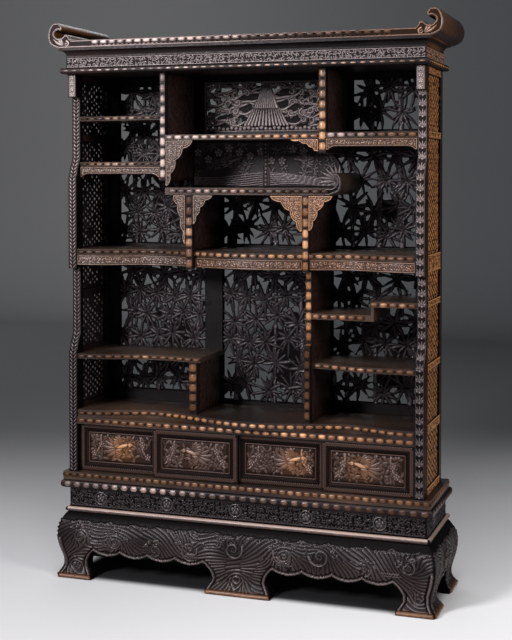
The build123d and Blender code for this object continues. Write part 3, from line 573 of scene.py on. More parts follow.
def skin(name, field, surface, direction, top, slot="carved_wood", body="case", border=None, gilt=0.0,
         reach=(-1e9, 1e9)):
    """Relief laid on CAD faces, seen along direction; top is the height that shows as wholly worn.

    border is (width, height) of a moulding along the face's own edge, between the heights in reach.
    """
    mask, ground = surface.behind(field, direction)
    raised = field.h
    if border:
        edge, where = border_of(mask, field.u[1] - field.u[0], *border)
        where &= (field.v[:, None] > reach[0]) & (field.v[:, None] < reach[1])
        raised = np.where(where, edge, raised)
    inner = shrink(mask)
    height = np.where(shrink(inner), raised + 0.3, np.where(inner, raised * 0.5 + 0.1, -0.6))
    points = ground - height[..., None] * np.asarray(direction)
    relief = np.clip(height / top, 0, 1)
    gold = np.broadcast_to(gilt, relief.shape).ravel()
    points, faces, relief, gold = used_only(points.reshape(-1, 3), cells(mask), relief.ravel(), gold)
    if direction == FROM_LEFT:
        faces = faces[:, ::-1]
    piece(name, points, faces, slot, relief, gold, body)


def slab(name, field, place, back, replaced, top=None, flip=False, gilt=0.0):
    """Pierced board instead of a CAD node: place(u, v, h) gives a point, back is the h of its rear face."""
    u, v = np.meshgrid(field.u, field.v)
    pitch = field.u[1] - field.u[0]
    inside = field.level > 0
    rim = grown(inside) & ~inside
    level_v, level_u = np.gradient(field.level, field.v[1] - field.v[0], pitch)
    reach = np.where(rim, -field.level / np.maximum(level_u ** 2 + level_v ** 2, 1e-4), 0)
    u = u + np.clip(reach * level_u, -pitch, pitch)
    v = v + np.clip(reach * level_v, -pitch, pitch)
    front = np.stack(place(u, v, field.h), -1).reshape(-1, 3)
    rear = np.stack(place(u, v, np.full_like(field.h, back)), -1).reshape(-1, 3)
    faces = cells(inside | rim)
    faces = faces[inside.ravel()[faces].any(1)]
    sides = np.concatenate([faces[:, [k, (k + 1) % 4]] for k in range(4)])
    _, first, counts = np.unique(np.sort(sides, axis=1), axis=0, return_index=True, return_counts=True)
    open_sides = sides[first[counts == 1]]
    shift = len(front)
    walls = np.concatenate([open_sides[:, ::-1], open_sides + shift], axis=1)
    faces = np.concatenate([faces, faces[:, ::-1] + shift, walls])
    relief = np.clip(field.h / (top or field.h.max()), 0, 1).ravel()
    relief = np.concatenate([relief, np.full(shift, 0.3)])
    gold = np.where(np.arange(2 * shift) < shift, gilt, 0.0)
    points, faces, relief, gold = used_only(np.concatenate([front, rear]), faces, relief, gold)
    if flip:
        faces = faces[:, ::-1]
    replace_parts(piece(name, points, faces, "fretwork_wood", relief, gold), replaced)


# ---- pierced boards
def cane(field, foot, lean, half, height, joint=64.0):
    """Stem up the whole field, with a raised ring at each joint."""
    v0, v1 = field.v[0], field.v[-1]
    field.stroke([(foot, v0), (foot + lean / 2, (v0 + v1) / 2), (foot + lean, v1)], half, height)
    for v in np.arange(v0 + rng.uniform(10, 40), v1, joint):
        u = foot + lean * (v - v0) / (v1 - v0)
        field.stroke([(u - half, v), (u + half, v)], 2.6, height * 1.25, clear=0.2)


def pierce(field, u, v, angle, length, width):
    """Leaf-shaped hole that starts at (u, v)."""
    du, dv = math.cos(angle), math.sin(angle)
    middle_u, middle_v = u + du * length / 2, v + dv * length / 2
    where, gu, gv = field.near(np.array([[middle_u, middle_v]]), length * 0.75)
    along = np.abs((gu - middle_u) * du + (gv - middle_v) * dv) / (length / 2)
    across = np.abs((gv - middle_v) * du - (gu - middle_u) * dv) / (width / 2)
    field.level[where] = np.minimum(field.level[where], (along ** 1.15 + across ** 1.15) ** (1 / 1.15) - 1)


def mend(field, edge):
    """Closes the board along its own edge and wherever a hole is too thin to cut."""
    inset = np.minimum.reduce(field.edges()[2])
    field.level = np.maximum(field.level, np.clip((edge - inset) / 4, -1, 1))
    cut = field.level <= 0
    field.level[cut & ~grown(shrink(cut))] = 0.3


def thicket(field, pitch, size, width, height, open_depth, leaves=11, cane_pitch=130):
    """Canes and sprays of leaves; the gaps between them stay open along the left and the upper edge."""
    u0, u1, v0, v1 = field.u[0], field.u[-1], field.v[0], field.v[-1]
    count = max(1, round((u1 - u0) / cane_pitch))
    for k in range(count):
        foot = u0 + (k + rng.uniform(0.3, 0.7)) * (u1 - u0) / count
        cane(field, foot, rng.uniform(-0.08, 0.08) * (v1 - v0), rng.uniform(6, 13), height)
    columns, rows = max(1, round((u1 - u0) / pitch)), max(1, round((v1 - v0) / pitch))
    for row in range(rows):
        for column in range(columns):
            u = u0 + (column + 0.5 + 0.5 * (row % 2 - 0.5) + rng.uniform(-0.2, 0.2)) * (u1 - u0) / columns
            v = v0 + (row + 0.65 + rng.uniform(-0.2, 0.2)) * (v1 - v0) / rows
            start = rng.uniform(0, TURN)
            for k in range(leaves):
                angle = start + (k + rng.uniform(-0.3, 0.3)) * TURN / leaves
                root = (u + 3 * math.cos(angle), v + 3 * math.sin(angle))
                leaf(field, *root, angle, size * rng.uniform(0.75, 1.3), width * rng.uniform(0.8, 1.15),
                     height * rng.uniform(0.75, 1.1), rng.uniform(-0.4, 0.4))
    u, v, (left, right, below, above) = field.edges()
    depth = np.minimum.reduce([left, right * 3.5, above * 0.8, below * 2.5])
    ragged = 60 * np.sin(u / 29 + 0.7) * np.sin(v / 33 + 0.3)
    field.level = np.maximum(field.level, np.clip((depth + ragged - open_depth) / 8, -1, 1))
    mend(field, 5)


def sieve(field, across, up, half_u, half_v, height):
    """Columns of small pointed holes among short leaves."""
    u0, u1, v0, v1 = field.u[0], field.u[-1], field.v[0], field.v[-1]
    field.level[:] = 1
    columns, rows = round((u1 - u0) / across), round((v1 - v0) / up)
    for column in range(columns):
        for row in range(rows):
            u = u0 + (column + 0.5) * (u1 - u0) / columns + rng.uniform(-2, 2)
            v = v0 + (row + 0.5 + 0.5 * (column % 2 - 0.5)) * (v1 - v0) / rows + rng.uniform(-3, 3)
            for side in (-1, 1):
                angle = math.pi / 2 - side * rng.uniform(0.3, 0.8)
                root = (u + side * half_u * 1.5, v - half_v)
                leaf(field, *root, angle, half_v * 2.0, half_u * 1.2, height, side * 0.5)
            if rng.uniform() < 0.85:
                angle = rng.uniform(1.1, 2.0)
                long = 2 * half_v * rng.uniform(0.7, 1.15)
                pierce(field, u - math.cos(angle) * long / 2, v - math.sin(angle) * long / 2, angle, long,
                       2 * half_u * rng.uniform(0.8, 1.2))
    mend(field, 5)


for group in ("back_panels_left", "back_panels_centre", "back_panels_right"):
    for k, (low, high) in enumerate(solids(group)):
        field = field_over(low, high, 0, 3.0, ground=0.6)
        thicket(field, pitch=80.0, size=60.0, width=12.0, height=6.0, open_depth=190.0)
        slab(f"bamboo_{group[12:]}_{k}", field, lambda u, v, h, y=low[1] + 4: (u, y - h, v), -4.0, group)

for hand, group in ((-1, "side_panels_left"), (1, "side_panels_right")):
    for k, (low, high) in enumerate(solids(group)):
        field = field_over(low, high, 0, 2.6, axis=1)
        sieve(field, across=20.0, up=23.0, half_u=7.5, half_v=9.0, height=3.6)
        outer = (high[0] if hand > 0 else -low[0]) + 4.0
        # Gilt 0.9 makes their outer faces golden: partly the wood's tone, partly painted warm light.
        slab(f"leaves_{group[12:]}_{k}", field, lambda u, v, h, x=outer: (hand * (x + h), u, v), -3.0, group,
             top=3.2, flip=hand < 0, gilt=0.9)


# ---- sides and dividers
for side, direction, _ in SIDES[1:]:
    low, high = box(f"side_rails_{side}")
    field = field_over(low, high, 1, 2.3, ground=1.9, axis=1)
    field.h[:, (field.u > low[1] + 7) & (field.u < high[1] - 7)] = 0.1
    for _ in range(5200):
        field.boss(rng.uniform(low[1] + 9, high[1] - 9), rng.uniform(low[2], high[2]), rng.uniform(2.5, 5.0),
                   rng.uniform(1.6, 2.8), 1.3)
    skin(f"side_carving_{side}", field, Surface(f"side_rails_{side}"), direction, 2.6)

DIVIDERS = [f"divider_{level}_{side}" for level in ("high", "mid", "low") for side in ("left", "right")]
for name in DIVIDERS:
    low, high = box(name)
    surface = Surface(name)
    for side, direction, _ in SIDES[1:]:
        field = Field(low[1] + 26, high[1] - 2, low[2] + 2, high[2] - 2, 3.0, ground=0.3)
        for _ in range(int((high[1] - low[1]) * (high[2] - low[2]) / 130)):
            root = (rng.uniform(low[1] + 26, high[1]), rng.uniform(low[2], high[2]))
            leaf(field, *root, rng.uniform(1.3, 1.8), rng.uniform(12, 26), 7.0, 1.5)
        skin(f"grain_{name}_{side}", field, surface, direction, 3.2, gilt=0.12)


# ---- posts
def edge_lines(field, height):
    """A line up each edge of a narrow face."""
    for u in (field.u[0] + 1.5, field.u[-1] - 1.5):
        field.stroke([(u, field.v[0]), (u, field.v[-1])], 1.6, height)


def leaf_column(field, height, step=14.0):
    """Pairs of leaves up a narrow face, between two edge lines."""
    u0, u1 = field.u[0], field.u[-1]
    middle, half = (u0 + u1) / 2, (u1 - u0) / 2
    for v in np.arange(field.v[0] + step / 2, field.v[-1], step):
        for side in (-1, 1):
            angle = math.pi / 2 - side * (math.pi / 2 - 0.75)
            leaf(field, middle + side, v - step * 0.4, angle, half * 1.15, 6.0, height, side * 0.4)
    edge_lines(field, height * 0.5)


def palmettes(field, height, step=36.0):
    """Fans of leaves, one above another, between two edge lines."""
    u0, u1 = field.u[0], field.u[-1]
    middle, half = (u0 + u1) / 2, (u1 - u0) / 2
    for v in np.arange(field.v[0] + 4, field.v[-1], step):
        for k in range(7):
            angle = math.pi * (0.08 + 0.84 * k / 6)
            long = half * (0.95 + 0.75 * math.sin(angle))
            leaf(field, middle + 2 * math.cos(angle), v + 3, angle, long, half * 0.34, height)
        field.boss(middle, v + 2, half * 0.24, height)
    edge_lines(field, height * 0.8)


def blossom(field, u, v, radius, height):
    for k in range(5):
        a = k * TURN / 5 + 0.3
        petal = (u + math.cos(a) * radius * 0.6, v + math.sin(a) * radius * 0.6)
        field.boss(*petal, radius * 0.42, height * 0.8)
    field.boss(u, v, radius * 0.3, height)


CAP = 84      # height of the block at a post's top
FADE_FROM, FADE_OVER = 350, 700      # where a post turns pale, up from its foot
for side, fill in (("left", leaf_column), ("right", palmettes)):
    low, high = box(f"post_front_{side}")
    field = field_over(low, high, 1, 1.6)
    fill(field, 3.4)
    cap = field.v > high[2] - CAP
    field.h[cap] = 1.2
    for v in np.arange(high[2] - CAP + 10, high[2] - 6, 21.0):
        blossom(field, (low[0] + high[0]) / 2, v, 10.0, 3.4)
    # The posts turn pale up their length and at the cap: partly the wood's tone, partly a painted sheen.
    fade = np.clip((field.v - low[2] - FADE_FROM) / FADE_OVER, 0, 1)
    gilt = -np.where(cap, 0.7, 0.05 + 0.4 * fade)[:, None]
    skin(f"post_carving_{side}", field, Surface(f"post_front_{side}"), FRONT, 3.4, gilt=gilt)


# ---- stand
def stream(field, spacing, height, eyes):
    """Ribbed water: ridges along the streamlines of a flow that turns round some eyes (u, v, turn, core)."""
    u, v = np.meshgrid(field.u, field.v)
    flow = v + 9 * np.sin(u / 61 + 1.3) * np.sin(v / 47)
    flow = flow + 6 * np.sin(u / 29 + 0.4) * np.sin(v / 33 + 1.0)
    for eye_u, eye_v, turn, core in eyes:
        r = np.hypot(u - eye_u, (v - eye_v) * 1.15)
        flow = flow + turn * core * np.log(r * r / (core * core) + 0.25)
    along_v, along_u = np.gradient(flow, field.v[1] - field.v[0], field.u[1] - field.u[0])
    octave = 2.0 ** np.clip(np.round(np.log2(np.hypot(along_u, along_v) + 0.01)), -1, 4)
    ridge = np.abs(np.cos(math.pi * flow / (spacing * octave))) ** 1.5
    swell = 0.6 + 0.4 * np.sin(u / 53 + 2.0) * np.sin(v / 39 + 0.5)
    field.h = np.maximum(field.h, height * swell * (0.05 + 0.95 * ridge))


def scales(field, u, v, wide, tall, size, height):
    """Oval patch of overlapping scales."""
    a = np.linspace(math.pi * 1.05, math.pi * 1.95, 6)
    for row in range(int(2 * tall / size)):
        for column in range(int(2 * wide / size)):
            su = u - wide + (column + 0.5 * (row % 2)) * size
            sv = v - tall + row * size * 0.8
            if ((su - u) / wide) ** 2 + ((sv - v) / tall) ** 2 < 1:
                scale = np.c_[su + size * 0.5 * np.cos(a), sv + size * 0.6 * np.sin(a)]
                field.stroke(scale, 1.7, height, clear=0.5)


def stand_carving(field):
    """Ribbed water with whirlpools, foam along its crest and scaled backs, under a smooth shoulder."""
    u0, u1 = field.u[0], field.u[-1]
    wide = u1 - u0
    count = max(2, round(wide / 150))
    eyes = [(u0 + 60, 52, 1, 16), (u1 - 60, 52, -1, 16)]
    if wide > 800:
        eyes.append(((u0 + u1) / 2 - 8, 62, 1.3, 26))
    for k in range(count):
        u = u0 + (k + 0.5) * wide / count + rng.uniform(-20, 20)
        v, turn = rng.uniform(135, 180), rng.choice((-1, 1)) * rng.uniform(0.8, 1.3)
        eyes.append((u, v, turn, rng.uniform(16, 28)))
    stream(field, 12.0, 7.5, eyes)
    for u, v, turn, core in eyes[-count:]:
        hand = 1 if turn > 0 else -1
        for ring in (1.0, 1.5):
            field.stroke(volute(u, v, core * ring, rng.uniform(0, 6), hand, 1.2), core * 0.17, 9.0, thinning)
        for k in range(7):
            a = rng.uniform(0.2, 2.9)
            spot = (u + math.cos(a) * core * 2.0, v + math.sin(a) * core * rng.uniform(1.2, 1.9))
            field.stroke(volute(*spot, rng.uniform(6, 11), a, -hand, 1.1), 2.4, 9.5, thinning)
    backs = max(1, count // 2)
    for k in range(backs):
        u = u0 + (k + 0.5) * wide / backs + rng.uniform(-30, 30)
        scales(field, u, rng.uniform(125, 165), rng.uniform(22, 40), rng.uniform(14, 20), 10.0, 8.5)
    shoulder = apron_top - 28 + 3 * np.sin(field.u / 17) + 2 * np.sin(field.u / 7.3)
    field.h = np.where(field.v[:, None] > shoulder, 0.3, field.h + 1.0)
    for u in np.arange(u0 + 6, u1, 13.0):
        edge = float(np.interp(u, field.u, shoulder)) - 6
        if rng.uniform() < 0.75:
            foam = volute(u, edge, rng.uniform(5, 8), rng.uniform(0, 6), rng.choice((-1, 1)), 1.0)
            field.stroke(foam, 2.0, 8.5, thinning)
    foot = field.v < 18
    field.h[foot] = 7.5 * round_top((field.v[foot] - 8) / 9)[:, None]


def foot_wear(field):
    """How golden the stand is: worn along the lips of its feet, and a little over its middle."""
    middle = 0.05 * np.clip(1.4 - abs(field.v - 105) / 60, 0, 1)
    return (middle + np.clip(1.7 - field.v / 14, 0, 0.85))[:, None]


STAND = {
    "front": ("base_leg_front_left", "base_leg_front_right", "base_centre_foot", "base_aprons_front"),
    "left": ("base_leg_front_left", "base_leg_rear_left", "base_aprons_side"),
    "right": ("base_leg_front_right", "base_leg_rear_right", "base_aprons_side"),
}
apron_top = box("base_leg_front_right")[1][2]
for side, direction, axis in SIDES:
    surface = Surface(*STAND[side])
    field = Field(surface.low[axis], surface.high[axis], 1.0, apron_top - 1, 2.6 if axis else 2.3)
    stand_carving(field)
    border = (12.0, 7.0) if axis else (13.0, 9.0)
    skin(f"stand_carving_{side}", field, surface, direction, 12.5, border=border, gilt=foot_wear(field),
         reach=(18, 150))


# ---- friezes, aprons and brackets
def filigree(field, pitch, radius, height):
    """Small scrolls all over a face."""
    for u in np.arange(field.u[0] + pitch / 2, field.u[-1], pitch):
        for v in np.arange(field.v[0] + pitch / 2, field.v[-1], pitch):
            spot = (u + rng.uniform(-0.2, 0.2) * pitch, v + rng.uniform(-0.2, 0.2) * pitch)
            start, hand = rng.uniform(0, TURN), rng.choice((-1, 1))
            field.stroke(volute(*spot, radius, start, hand, 1.2), radius * 0.24, height, thinning)
            for k in (1, 2, 3):
                leaf(field, *spot, start + 1.6 * k, radius * 1.5, radius * 0.5, height * 0.9, 0.6 * hand)


def frieze(name, node, z0, z1, top, gilt, pitch, medallions=False, height=3.0):
    """Scrollwork on the front and both sides of a node, between two heights."""
    low, high = box(node)
    surface = Surface(node)
    for side, direction, axis in SIDES:
        a0, a1 = low[axis], high[axis]
        field = Field(a0 + 1, a1 - 1, z0, z1, pitch)
        filigree(field, 17.0, 7.5, height)
        if medallions:
            for u in np.arange(a0 + 140, a1 - 100, 265.0):
                blossom(field, u, (z0 + z1) / 2, 17.0, height * 1.4)
                ring = np.linspace(0, TURN, 24)
                circle = np.c_[u + 22 * np.cos(ring), (z0 + z1) / 2 + 22 * np.sin(ring)]
                field.stroke(circle, 2.2, height * 1.2)
        for z in (z0 + 2.5, z1 - 2.5):
            field.stroke([(a0, z), (a1, z)], 2.0, height)
        skin(f"{name}_{side}", field, surface, direction, top, gilt=gilt)


TORUS = 20.0      # height of the half-round at the waist's foot
frieze_low, frieze_high = box("cornice_frieze")
frieze("frieze_carving", "cornice_frieze", frieze_low[2] + 0.5, frieze_high[2] - 0.5, 2.8, -0.3, 1.6)
waist_low, waist_high = box("base_waist")
frieze("waist_carving", "base_waist", waist_low[2] + TORUS, waist_high[2] - 1, 5.0, 0.0, 2.0, medallions=True)

for group, name, inset, pitch, ground, radius, height, moulding, top, warm in (
    ("shelf_aprons", "apron_carving", 0.5, 1.6, 0.7, 6.5, 3.0, 2.0, 3.4, 0.15),
    ("niche_brackets", "bracket_carving_niche", 0, 1.5, 0.8, 7.0, 3.6, 3.2, 4.2, 0.55),
    ("scroll_shelf_brackets", "bracket_carving_scrol", 0, 1.5, 0.8, 7.0, 3.6, 3.2, 4.2, 0.55),
):
    surface = Surface(group)
    for k, (low, high) in enumerate(solids(group)):
        field = field_over(low, high, inset, pitch, ground)
        filigree(field, 15.0, radius, height)
        skin(f"{name}_{k}", field, surface, FRONT, top, "worn_carving", border=(5.0, moulding),
             gilt=warm if low[0] + high[0] > 0 else -0.1)


# ---- birds and foliage
def bird(field, u, v, size, hand, height):
    """Long-tailed bird flying towards hand: tail, upper wing, lower wing, body, head and beak."""
    def feather(du, dv, angle, long, wide, proud, bend):
        root = (u + hand * size * du, v + size * dv)
        leaf(field, *root, angle, size * long, size * wide, height * proud, hand * bend)

    for k in range(5):
        heading = math.pi / 2 + hand * (math.pi / 2 + 0.32 * (k - 1.6))
        feather(-0.2, -0.05, heading, 1.25 - 0.1 * abs(k - 2), 0.24, 0.8, -0.5)
    for k in range(6):
        feather(-0.02, 0.05, math.pi / 2 + hand * (0.15 + 0.24 * k), 0.95 - 0.08 * k, 0.27, 1.0, 0.5)
    for k in range(4):
        feather(0.02, -0.02, -math.pi / 2 - hand * (0.35 + 0.24 * k), 0.72 - 0.06 * k, 0.25, 0.9, -0.4)
    body = curve(u - hand * size * 0.4, v, math.pi / 2 - hand * (math.pi / 2 - 0.25), size * 0.95, hand * 0.1)
    field.stroke(body, size * 0.12, height * 1.05, leafy)
    field.boss(u + hand * size * 0.52, v + size * 0.22, size * 0.13, height * 1.1)
    beak = [(u + hand * size * 0.6, v + size * 0.24), (u + hand * size * 0.78, v + size * 0.2)]
    field.stroke(beak, size * 0.05, height, thinning)


def spray(field, u, v, count, length, width, height):
    """Leaves in a ring about (u, v)."""
    start = rng.uniform(0, TURN)
    for k in range(count):
        angle = start + TURN * k / count + rng.uniform(-0.15, 0.15)
        leaf(field, u, v, angle, length * rng.uniform(0.75, 1.1), width, height, rng.uniform(-0.6, 0.6))


# ---- doors
def rope(field, corners, half, height, pitch=8.0):
    """Twisted strands round a closed outline."""
    for a, b in zip(corners, corners[1:] + corners[:1]):
        spots, ways, _ = march([(*a, 0), (*b, 0)], pitch)
        for (u, v, _), (du, dv, _) in zip(spots, ways):
            lean = pitch / 2
            field.stroke([(u - du * lean + dv * half, v - dv * lean - du * half),
                          (u + du * lean - dv * half, v + dv * lean + du * half)], pitch * 0.38, height)


sill_z = box("post_front_left")[0][2]
for k, bird_shift, gold in ((1, 5, 0.7), (2, -12, 0.1), (3, 55, 0.6), (4, -25, 0.45)):
    low, high = box(f"door_{k}_frame")
    field = Field(low[0] + 1, high[0] - 1, sill_z + 2, high[2] - 8, 2.0)
    left, right, foot, head = low[0] + 10, high[0] - 10, sill_z + 11, high[2] - 17
    rope(field, [(left, foot), (right, foot), (right, head), (left, head)], 5.0, 2.0)
    skin(f"door_{k}_rope", field, Surface(f"door_{k}_frame"), FRONT, 6.5, body=f"door_{k}", gilt=0.2)

    low, high = box(f"door_{k}_panel")
    field = field_over(low, high, 1, 1.8, ground=0.5)
    u, v = (low[0] + high[0]) / 2, (low[2] + high[2]) / 2
    for _ in range(75):
        root = (rng.uniform(low[0] + 18, high[0] - 18), rng.uniform(low[2] + 18, high[2] - 18))
        spray(field, *root, 3, 28, 11, rng.uniform(2.0, 3.6))
    for hand in (-1, 1):
        stem = curve(u + hand * 115, v - 34, math.pi / 2 + hand * 0.9, 120, -hand * 1.3)
        field.stroke(stem, 4.0, 4.0)
        for share in (0.3, 0.65, 1.0):
            at = stem[int(share * (len(stem) - 1))]
            blossom(field, at[0] + rng.uniform(-7, 7), at[1] + rng.uniform(-7, 7), 13, 4.2)
    bird_u = u + bird_shift
    bird(field, bird_u, v + 4, 60, 1 if k % 2 else -1, 4.8)
    across, up, depths = field.edges()
    about_bird = np.exp(-((across - bird_u) / 52) ** 4 - ((up - v) / 46) ** 4)
    gilt = np.where(np.minimum.reduce(depths) < 5, 0.35, gold * about_bird + 0.2)
    skin(f"door_{k}_relief", field, Surface(f"door_{k}_panel"), FRONT, 4.8, body=f"door_{k}",
         border=(4.5, 2.2), gilt=gilt)


# ---- niche back
low, high = box("niche_back")
field = field_over(low, high, 1, 2.2, ground=0.8)
for _ in range(44):
    spray(field, rng.uniform(low[0] + 8, high[0] - 8), rng.uniform(low[2] + 45, high[2]), 6, 26, 9, 3.6)
for k in range(14):
    blossom(field, low[0] + 20 + k * 42, rng.uniform(low[2] + 60, high[2] - 20), 17, 5.0)
for u in (-120, 150):
    bird(field, u, low[2] + 95, 42, 1 if u < 0 else -1, 5.5)
for row in range(7):
    u = np.arange(low[0], high[0] + 12, 12.0)
    field.stroke(np.c_[u, low[2] + 5 + row * 6.5 + 9 * np.sin(u / 74 + row * 0.22)], 2.4, 3.0, clear=0.8)
for k in range(9):
    leaf(field, high[0] - 30, low[2] + 20, math.pi * (0.15 + 0.1 * k), 72, 13, 5.0, 0.5)
low_divider = box("divider_low_right")
stile = low_divider[1][0] - low_divider[0][0] + 4      # width of the plain upright that starts at x 0
field.h[:, (field.u > 0) & (field.u < stile)] = 0.5
for v in np.arange(low[2] + 10, high[2], 15.0):
    field.boss(stile / 2, v, 6.5, 2.6, 1.1)
for u in (1.5, stile - 1.5):
    field.stroke([(u, low[2]), (u, high[2])], 2.0, 2.5)
skin("niche_carving", field, Surface("niche_back"), FRONT, 4.5, "fretwork_wood", gilt=-0.2)


# ---- fan panel
def curls(field, u, v, radius, hand, height, start):
    """Cloud of small volutes round a larger one."""
    for k in range(4):
        a = start + hand * (0.9 + 0.85 * k)
        cu, cv = u + math.cos(a) * radius * 0.95, v + math.sin(a) * radius * 0.95
        curl = volute(cu, cv, radius * 0.42, a + math.pi, hand, 1.1)
        field.stroke(curl, radius * 0.2, height * 0.85, thinning)
    field.stroke(volute(u, v, radius * 0.8, start + math.pi, -hand, 1.5), radius * 0.24, height, thinning)


low, high = box("back_panel_fan")
(left, ground_y, foot), (right, _, head) = low, high
field = field_over(low, high, 0, 2.0)
fan_u = (left + right) / 2
for row in range(13):
    u = np.arange(left, right + 10, 10.0)
    v = foot + 26 + row * 14 + 13 * np.sin(u / 33 + row * 1.9) + 4 * np.sin(u / 13 + row)
    field.stroke(np.c_[u, v], 5.0, 4.6, clear=0.5)
for u in np.arange(left + 18, right, 37.0):
    for v in np.arange(foot + 42, head, 34.0):
        if abs(u - fan_u) > 60 + 0.35 * (head - v) or v > head - 40:
            spot = (u + rng.uniform(-6, 6), v + rng.uniform(-6, 6))
            curls(field, *spot, rng.uniform(12, 18), rng.choice((-1, 1)), 6.0, rng.uniform(0, 6))
for spread, root, long, count, half in ((0.62, 26, 88, 13, 52), (0.42, 92, 84, 11, 18)):
    for lean in spread * np.linspace(-1, 1, count):
        start = (fan_u + lean * half + math.sin(lean) * long, foot + root)
        rib = curve(*start, math.pi / 2 + lean * 0.9, long, -lean * 0.3)
        field.stroke(rib, 6.2, 7.5, thinning, veined)
for u in np.arange(left + 9, right, 17.0):
    field.boss(u, foot + 13 + 3 * math.sin(u), 7.5, 6.5)
for u in (left + 3, right - 3):
    field.stroke([(u, foot), (u, head)], 4.5, 3.0)
for v in (foot + 3, head - 3):
    field.stroke([(left, v), (right, v)], 4.5, 3.0)
u, v, (from_left, _, _, from_top) = field.edges()
openness = np.exp(-from_left / 90) + 0.8 * np.exp(-from_top / 40) + 0.3 * np.sin(u / 23) * np.sin(v / 19)
field.level = np.maximum(field.level, np.clip(0.42 - openness, -1, 1))
mend(field, 6)
# Gilt -0.35 turns the panel's face pale: a painted sheen.
slab("cloud_panel", field, lambda u, v, h: (u, ground_y + 1 - h, v), -6.0, "back_panel_fan", top=5.5,
     gilt=-0.35)


# ---- shelf and divider edges
def wear_and_painted_highlight(middle, spread, base, peak, first, last):
    """Wear and a painted highlight along a row of beads, brightest at one share of its length, and gilt from
    first to last.
    """
    return lambda share: (base + (peak - base) * math.exp(-((share - middle) / spread) ** 2),
                          first + (last - first) * share)


def lip(node, drop):
    """Points along a shelf's front edge, a little below its top."""
    low, high = box(node)
    return front_line(node, high[2] - drop, low[0] + 1, high[0] - 1)


scroll_low, scroll_high = box("scroll_shelf")
scroll_line = front_line("scroll_shelf", box("niche_back")[0][2] - 12, scroll_low[0], scroll_high[0] - 42)
field = Field(scroll_high[0] - 60, scroll_high[0], scroll_low[2], scroll_high[2], 1.5)
skin("scroll_end", field, Surface("scroll_shelf"), FRONT, 3.0, border=(6.0, 2.2))

edges = Heap()
for path, deep, tall, bright in (
    (lip("counter_shelf", 13), 5, 7, wear_and_painted_highlight(0.55, 0.4, 0.3, 0.75, 0.4, 0.9)),
    (lip("door_head_board", 12), 4.5, 8, wear_and_painted_highlight(0.6, 0.3, 0.35, 0.85, 0.7, 1.0)),
    (lip("long_shelf", 11), 5, 7, wear_and_painted_highlight(0.55, 0.3, 0.35, 0.9, 0.0, 0.6)),
    (scroll_line, 5, 8, wear_and_painted_highlight(0.3, 0.3, 0.3, 0.8, -0.2, 0.2)),
    (lip("shelf_left_low", 9), 4.5, 6, wear_and_painted_highlight(0.5, 0.3, 0.3, 0.55, 0.2, 0.6)),
    (lip("shelf_right_low", 10), 4.5, 6.5, wear_and_painted_highlight(0.3, 0.3, 0.35, 0.75, 0.4, 0.8)),
    (lip("shelf_left_mid", 8), 4.5, 6, wear_and_painted_highlight(0.4, 0.25, 0.3, 1.0, 0.1, -0.3)),
    (lip("shelf_left_high", 8), 4.5, 5.5, wear_and_painted_highlight(0.5, 0.3, 0.3, 0.9, 0.1, -0.3)),
    (lip("shelf_centre_high", 9), 5, 7, wear_and_painted_highlight(0.3, 0.6, 0.6, 1.0, -0.7, 0.8)),
    (lip("shelf_right_high", 10), 5, 7.5, wear_and_painted_highlight(0.2, 0.35, 0.45, 0.85, -0.6, 0.7)),
):
    bead_row(edges, path, 34.0, deep, tall, bright)
for name, bright in zip(DIVIDERS, (
    wear_and_painted_highlight(0.4, 0.7, 0.55, 0.85, -0.7, -0.6),
    wear_and_painted_highlight(0.4, 0.5, 0.65, 0.95, 0.1, 0.7),
    wear_and_painted_highlight(0.6, 0.4, 0.4, 0.8, 0.0, 0.7),
    wear_and_painted_highlight(0.6, 0.5, 0.5, 0.85, 0.5, 0.8),
    wear_and_painted_highlight(0.5, 0.5, 0.3, 0.45, 0.8, 0.6),
    wear_and_painted_highlight(0.3, 0.2, 0.3, 0.65, 0.9, 0.7),
)):
    low, high = box(name)
    middle, half = (low[0] + high[0]) / 2, (high[0] - low[0]) / 2
    path = front_edge(name, [(middle, z) for z in np.arange(high[2] - 2, low[2] + 1, -12)])
    bead_row(edges, path, 37.0, half, 5.5, bright, 0.1, up=(0, 1, 0))
low, high = box("stepped_shelf")
step_x = (low[0] + high[0]) / 2 + 12
for x0, x1, z in ((low[0] + 1, step_x - 8, low[2] + 10), (step_x + 8, high[0] - 1, high[2] - 10)):
    bead_row(edges, [(x0, low[1], z), (x1, low[1], z)], 34.0, 4.5, 8, wear_and_painted_highlight(0.4, 0.4, 0.3, 0.6, 0.6, 0.8))
edges.make("edge_beads", "worn_carving")


# ---- rolled edges of the stand and the top
def around(low, high, z, out):
    """Path along the left side, the front and the right side of a box."""
    x0, x1, y0, y1 = low[0] - out, high[0] + out, low[1] - out, high[1]
    return [[(x0, y1, z), (x0, y0, z)], [(x0, y0, z), (x1, y0, z)], [(x1, y0, z), (x1, y1, z)]]


rolls = Heap()
for path in around(waist_low, waist_high, waist_low[2] + 8.5, -8.3):
    half_round(rolls, path, 8.8, 0.9, -0.3)
for name, rise, out, pitch, deep, tall, gap, bright in (
    ("base_top_board", 0, -9, 38.0, 11, 13, 0.06, wear_and_painted_highlight(0.25, 0.45, 0.3, 0.75, -0.5, 0.4)),
    ("bottom_board", 3, 0, 30.0, 2.5, 8, 0.1, wear_and_painted_highlight(0.6, 0.4, 0.25, 0.55, 0.6, 0.8)),
    ("cornice_board", 0, -6.2, 34.0, 7, 9.5, 0.1, wear_and_painted_highlight(0.5, 0.4, 0.5, 0.9, -0.4, 0.5)),
):
    low, high = box(name)
    for path in around(low, high, (low[2] + high[2]) / 2 + rise, out):
        bead_row(rolls, path, pitch, deep, tall, bright, gap)

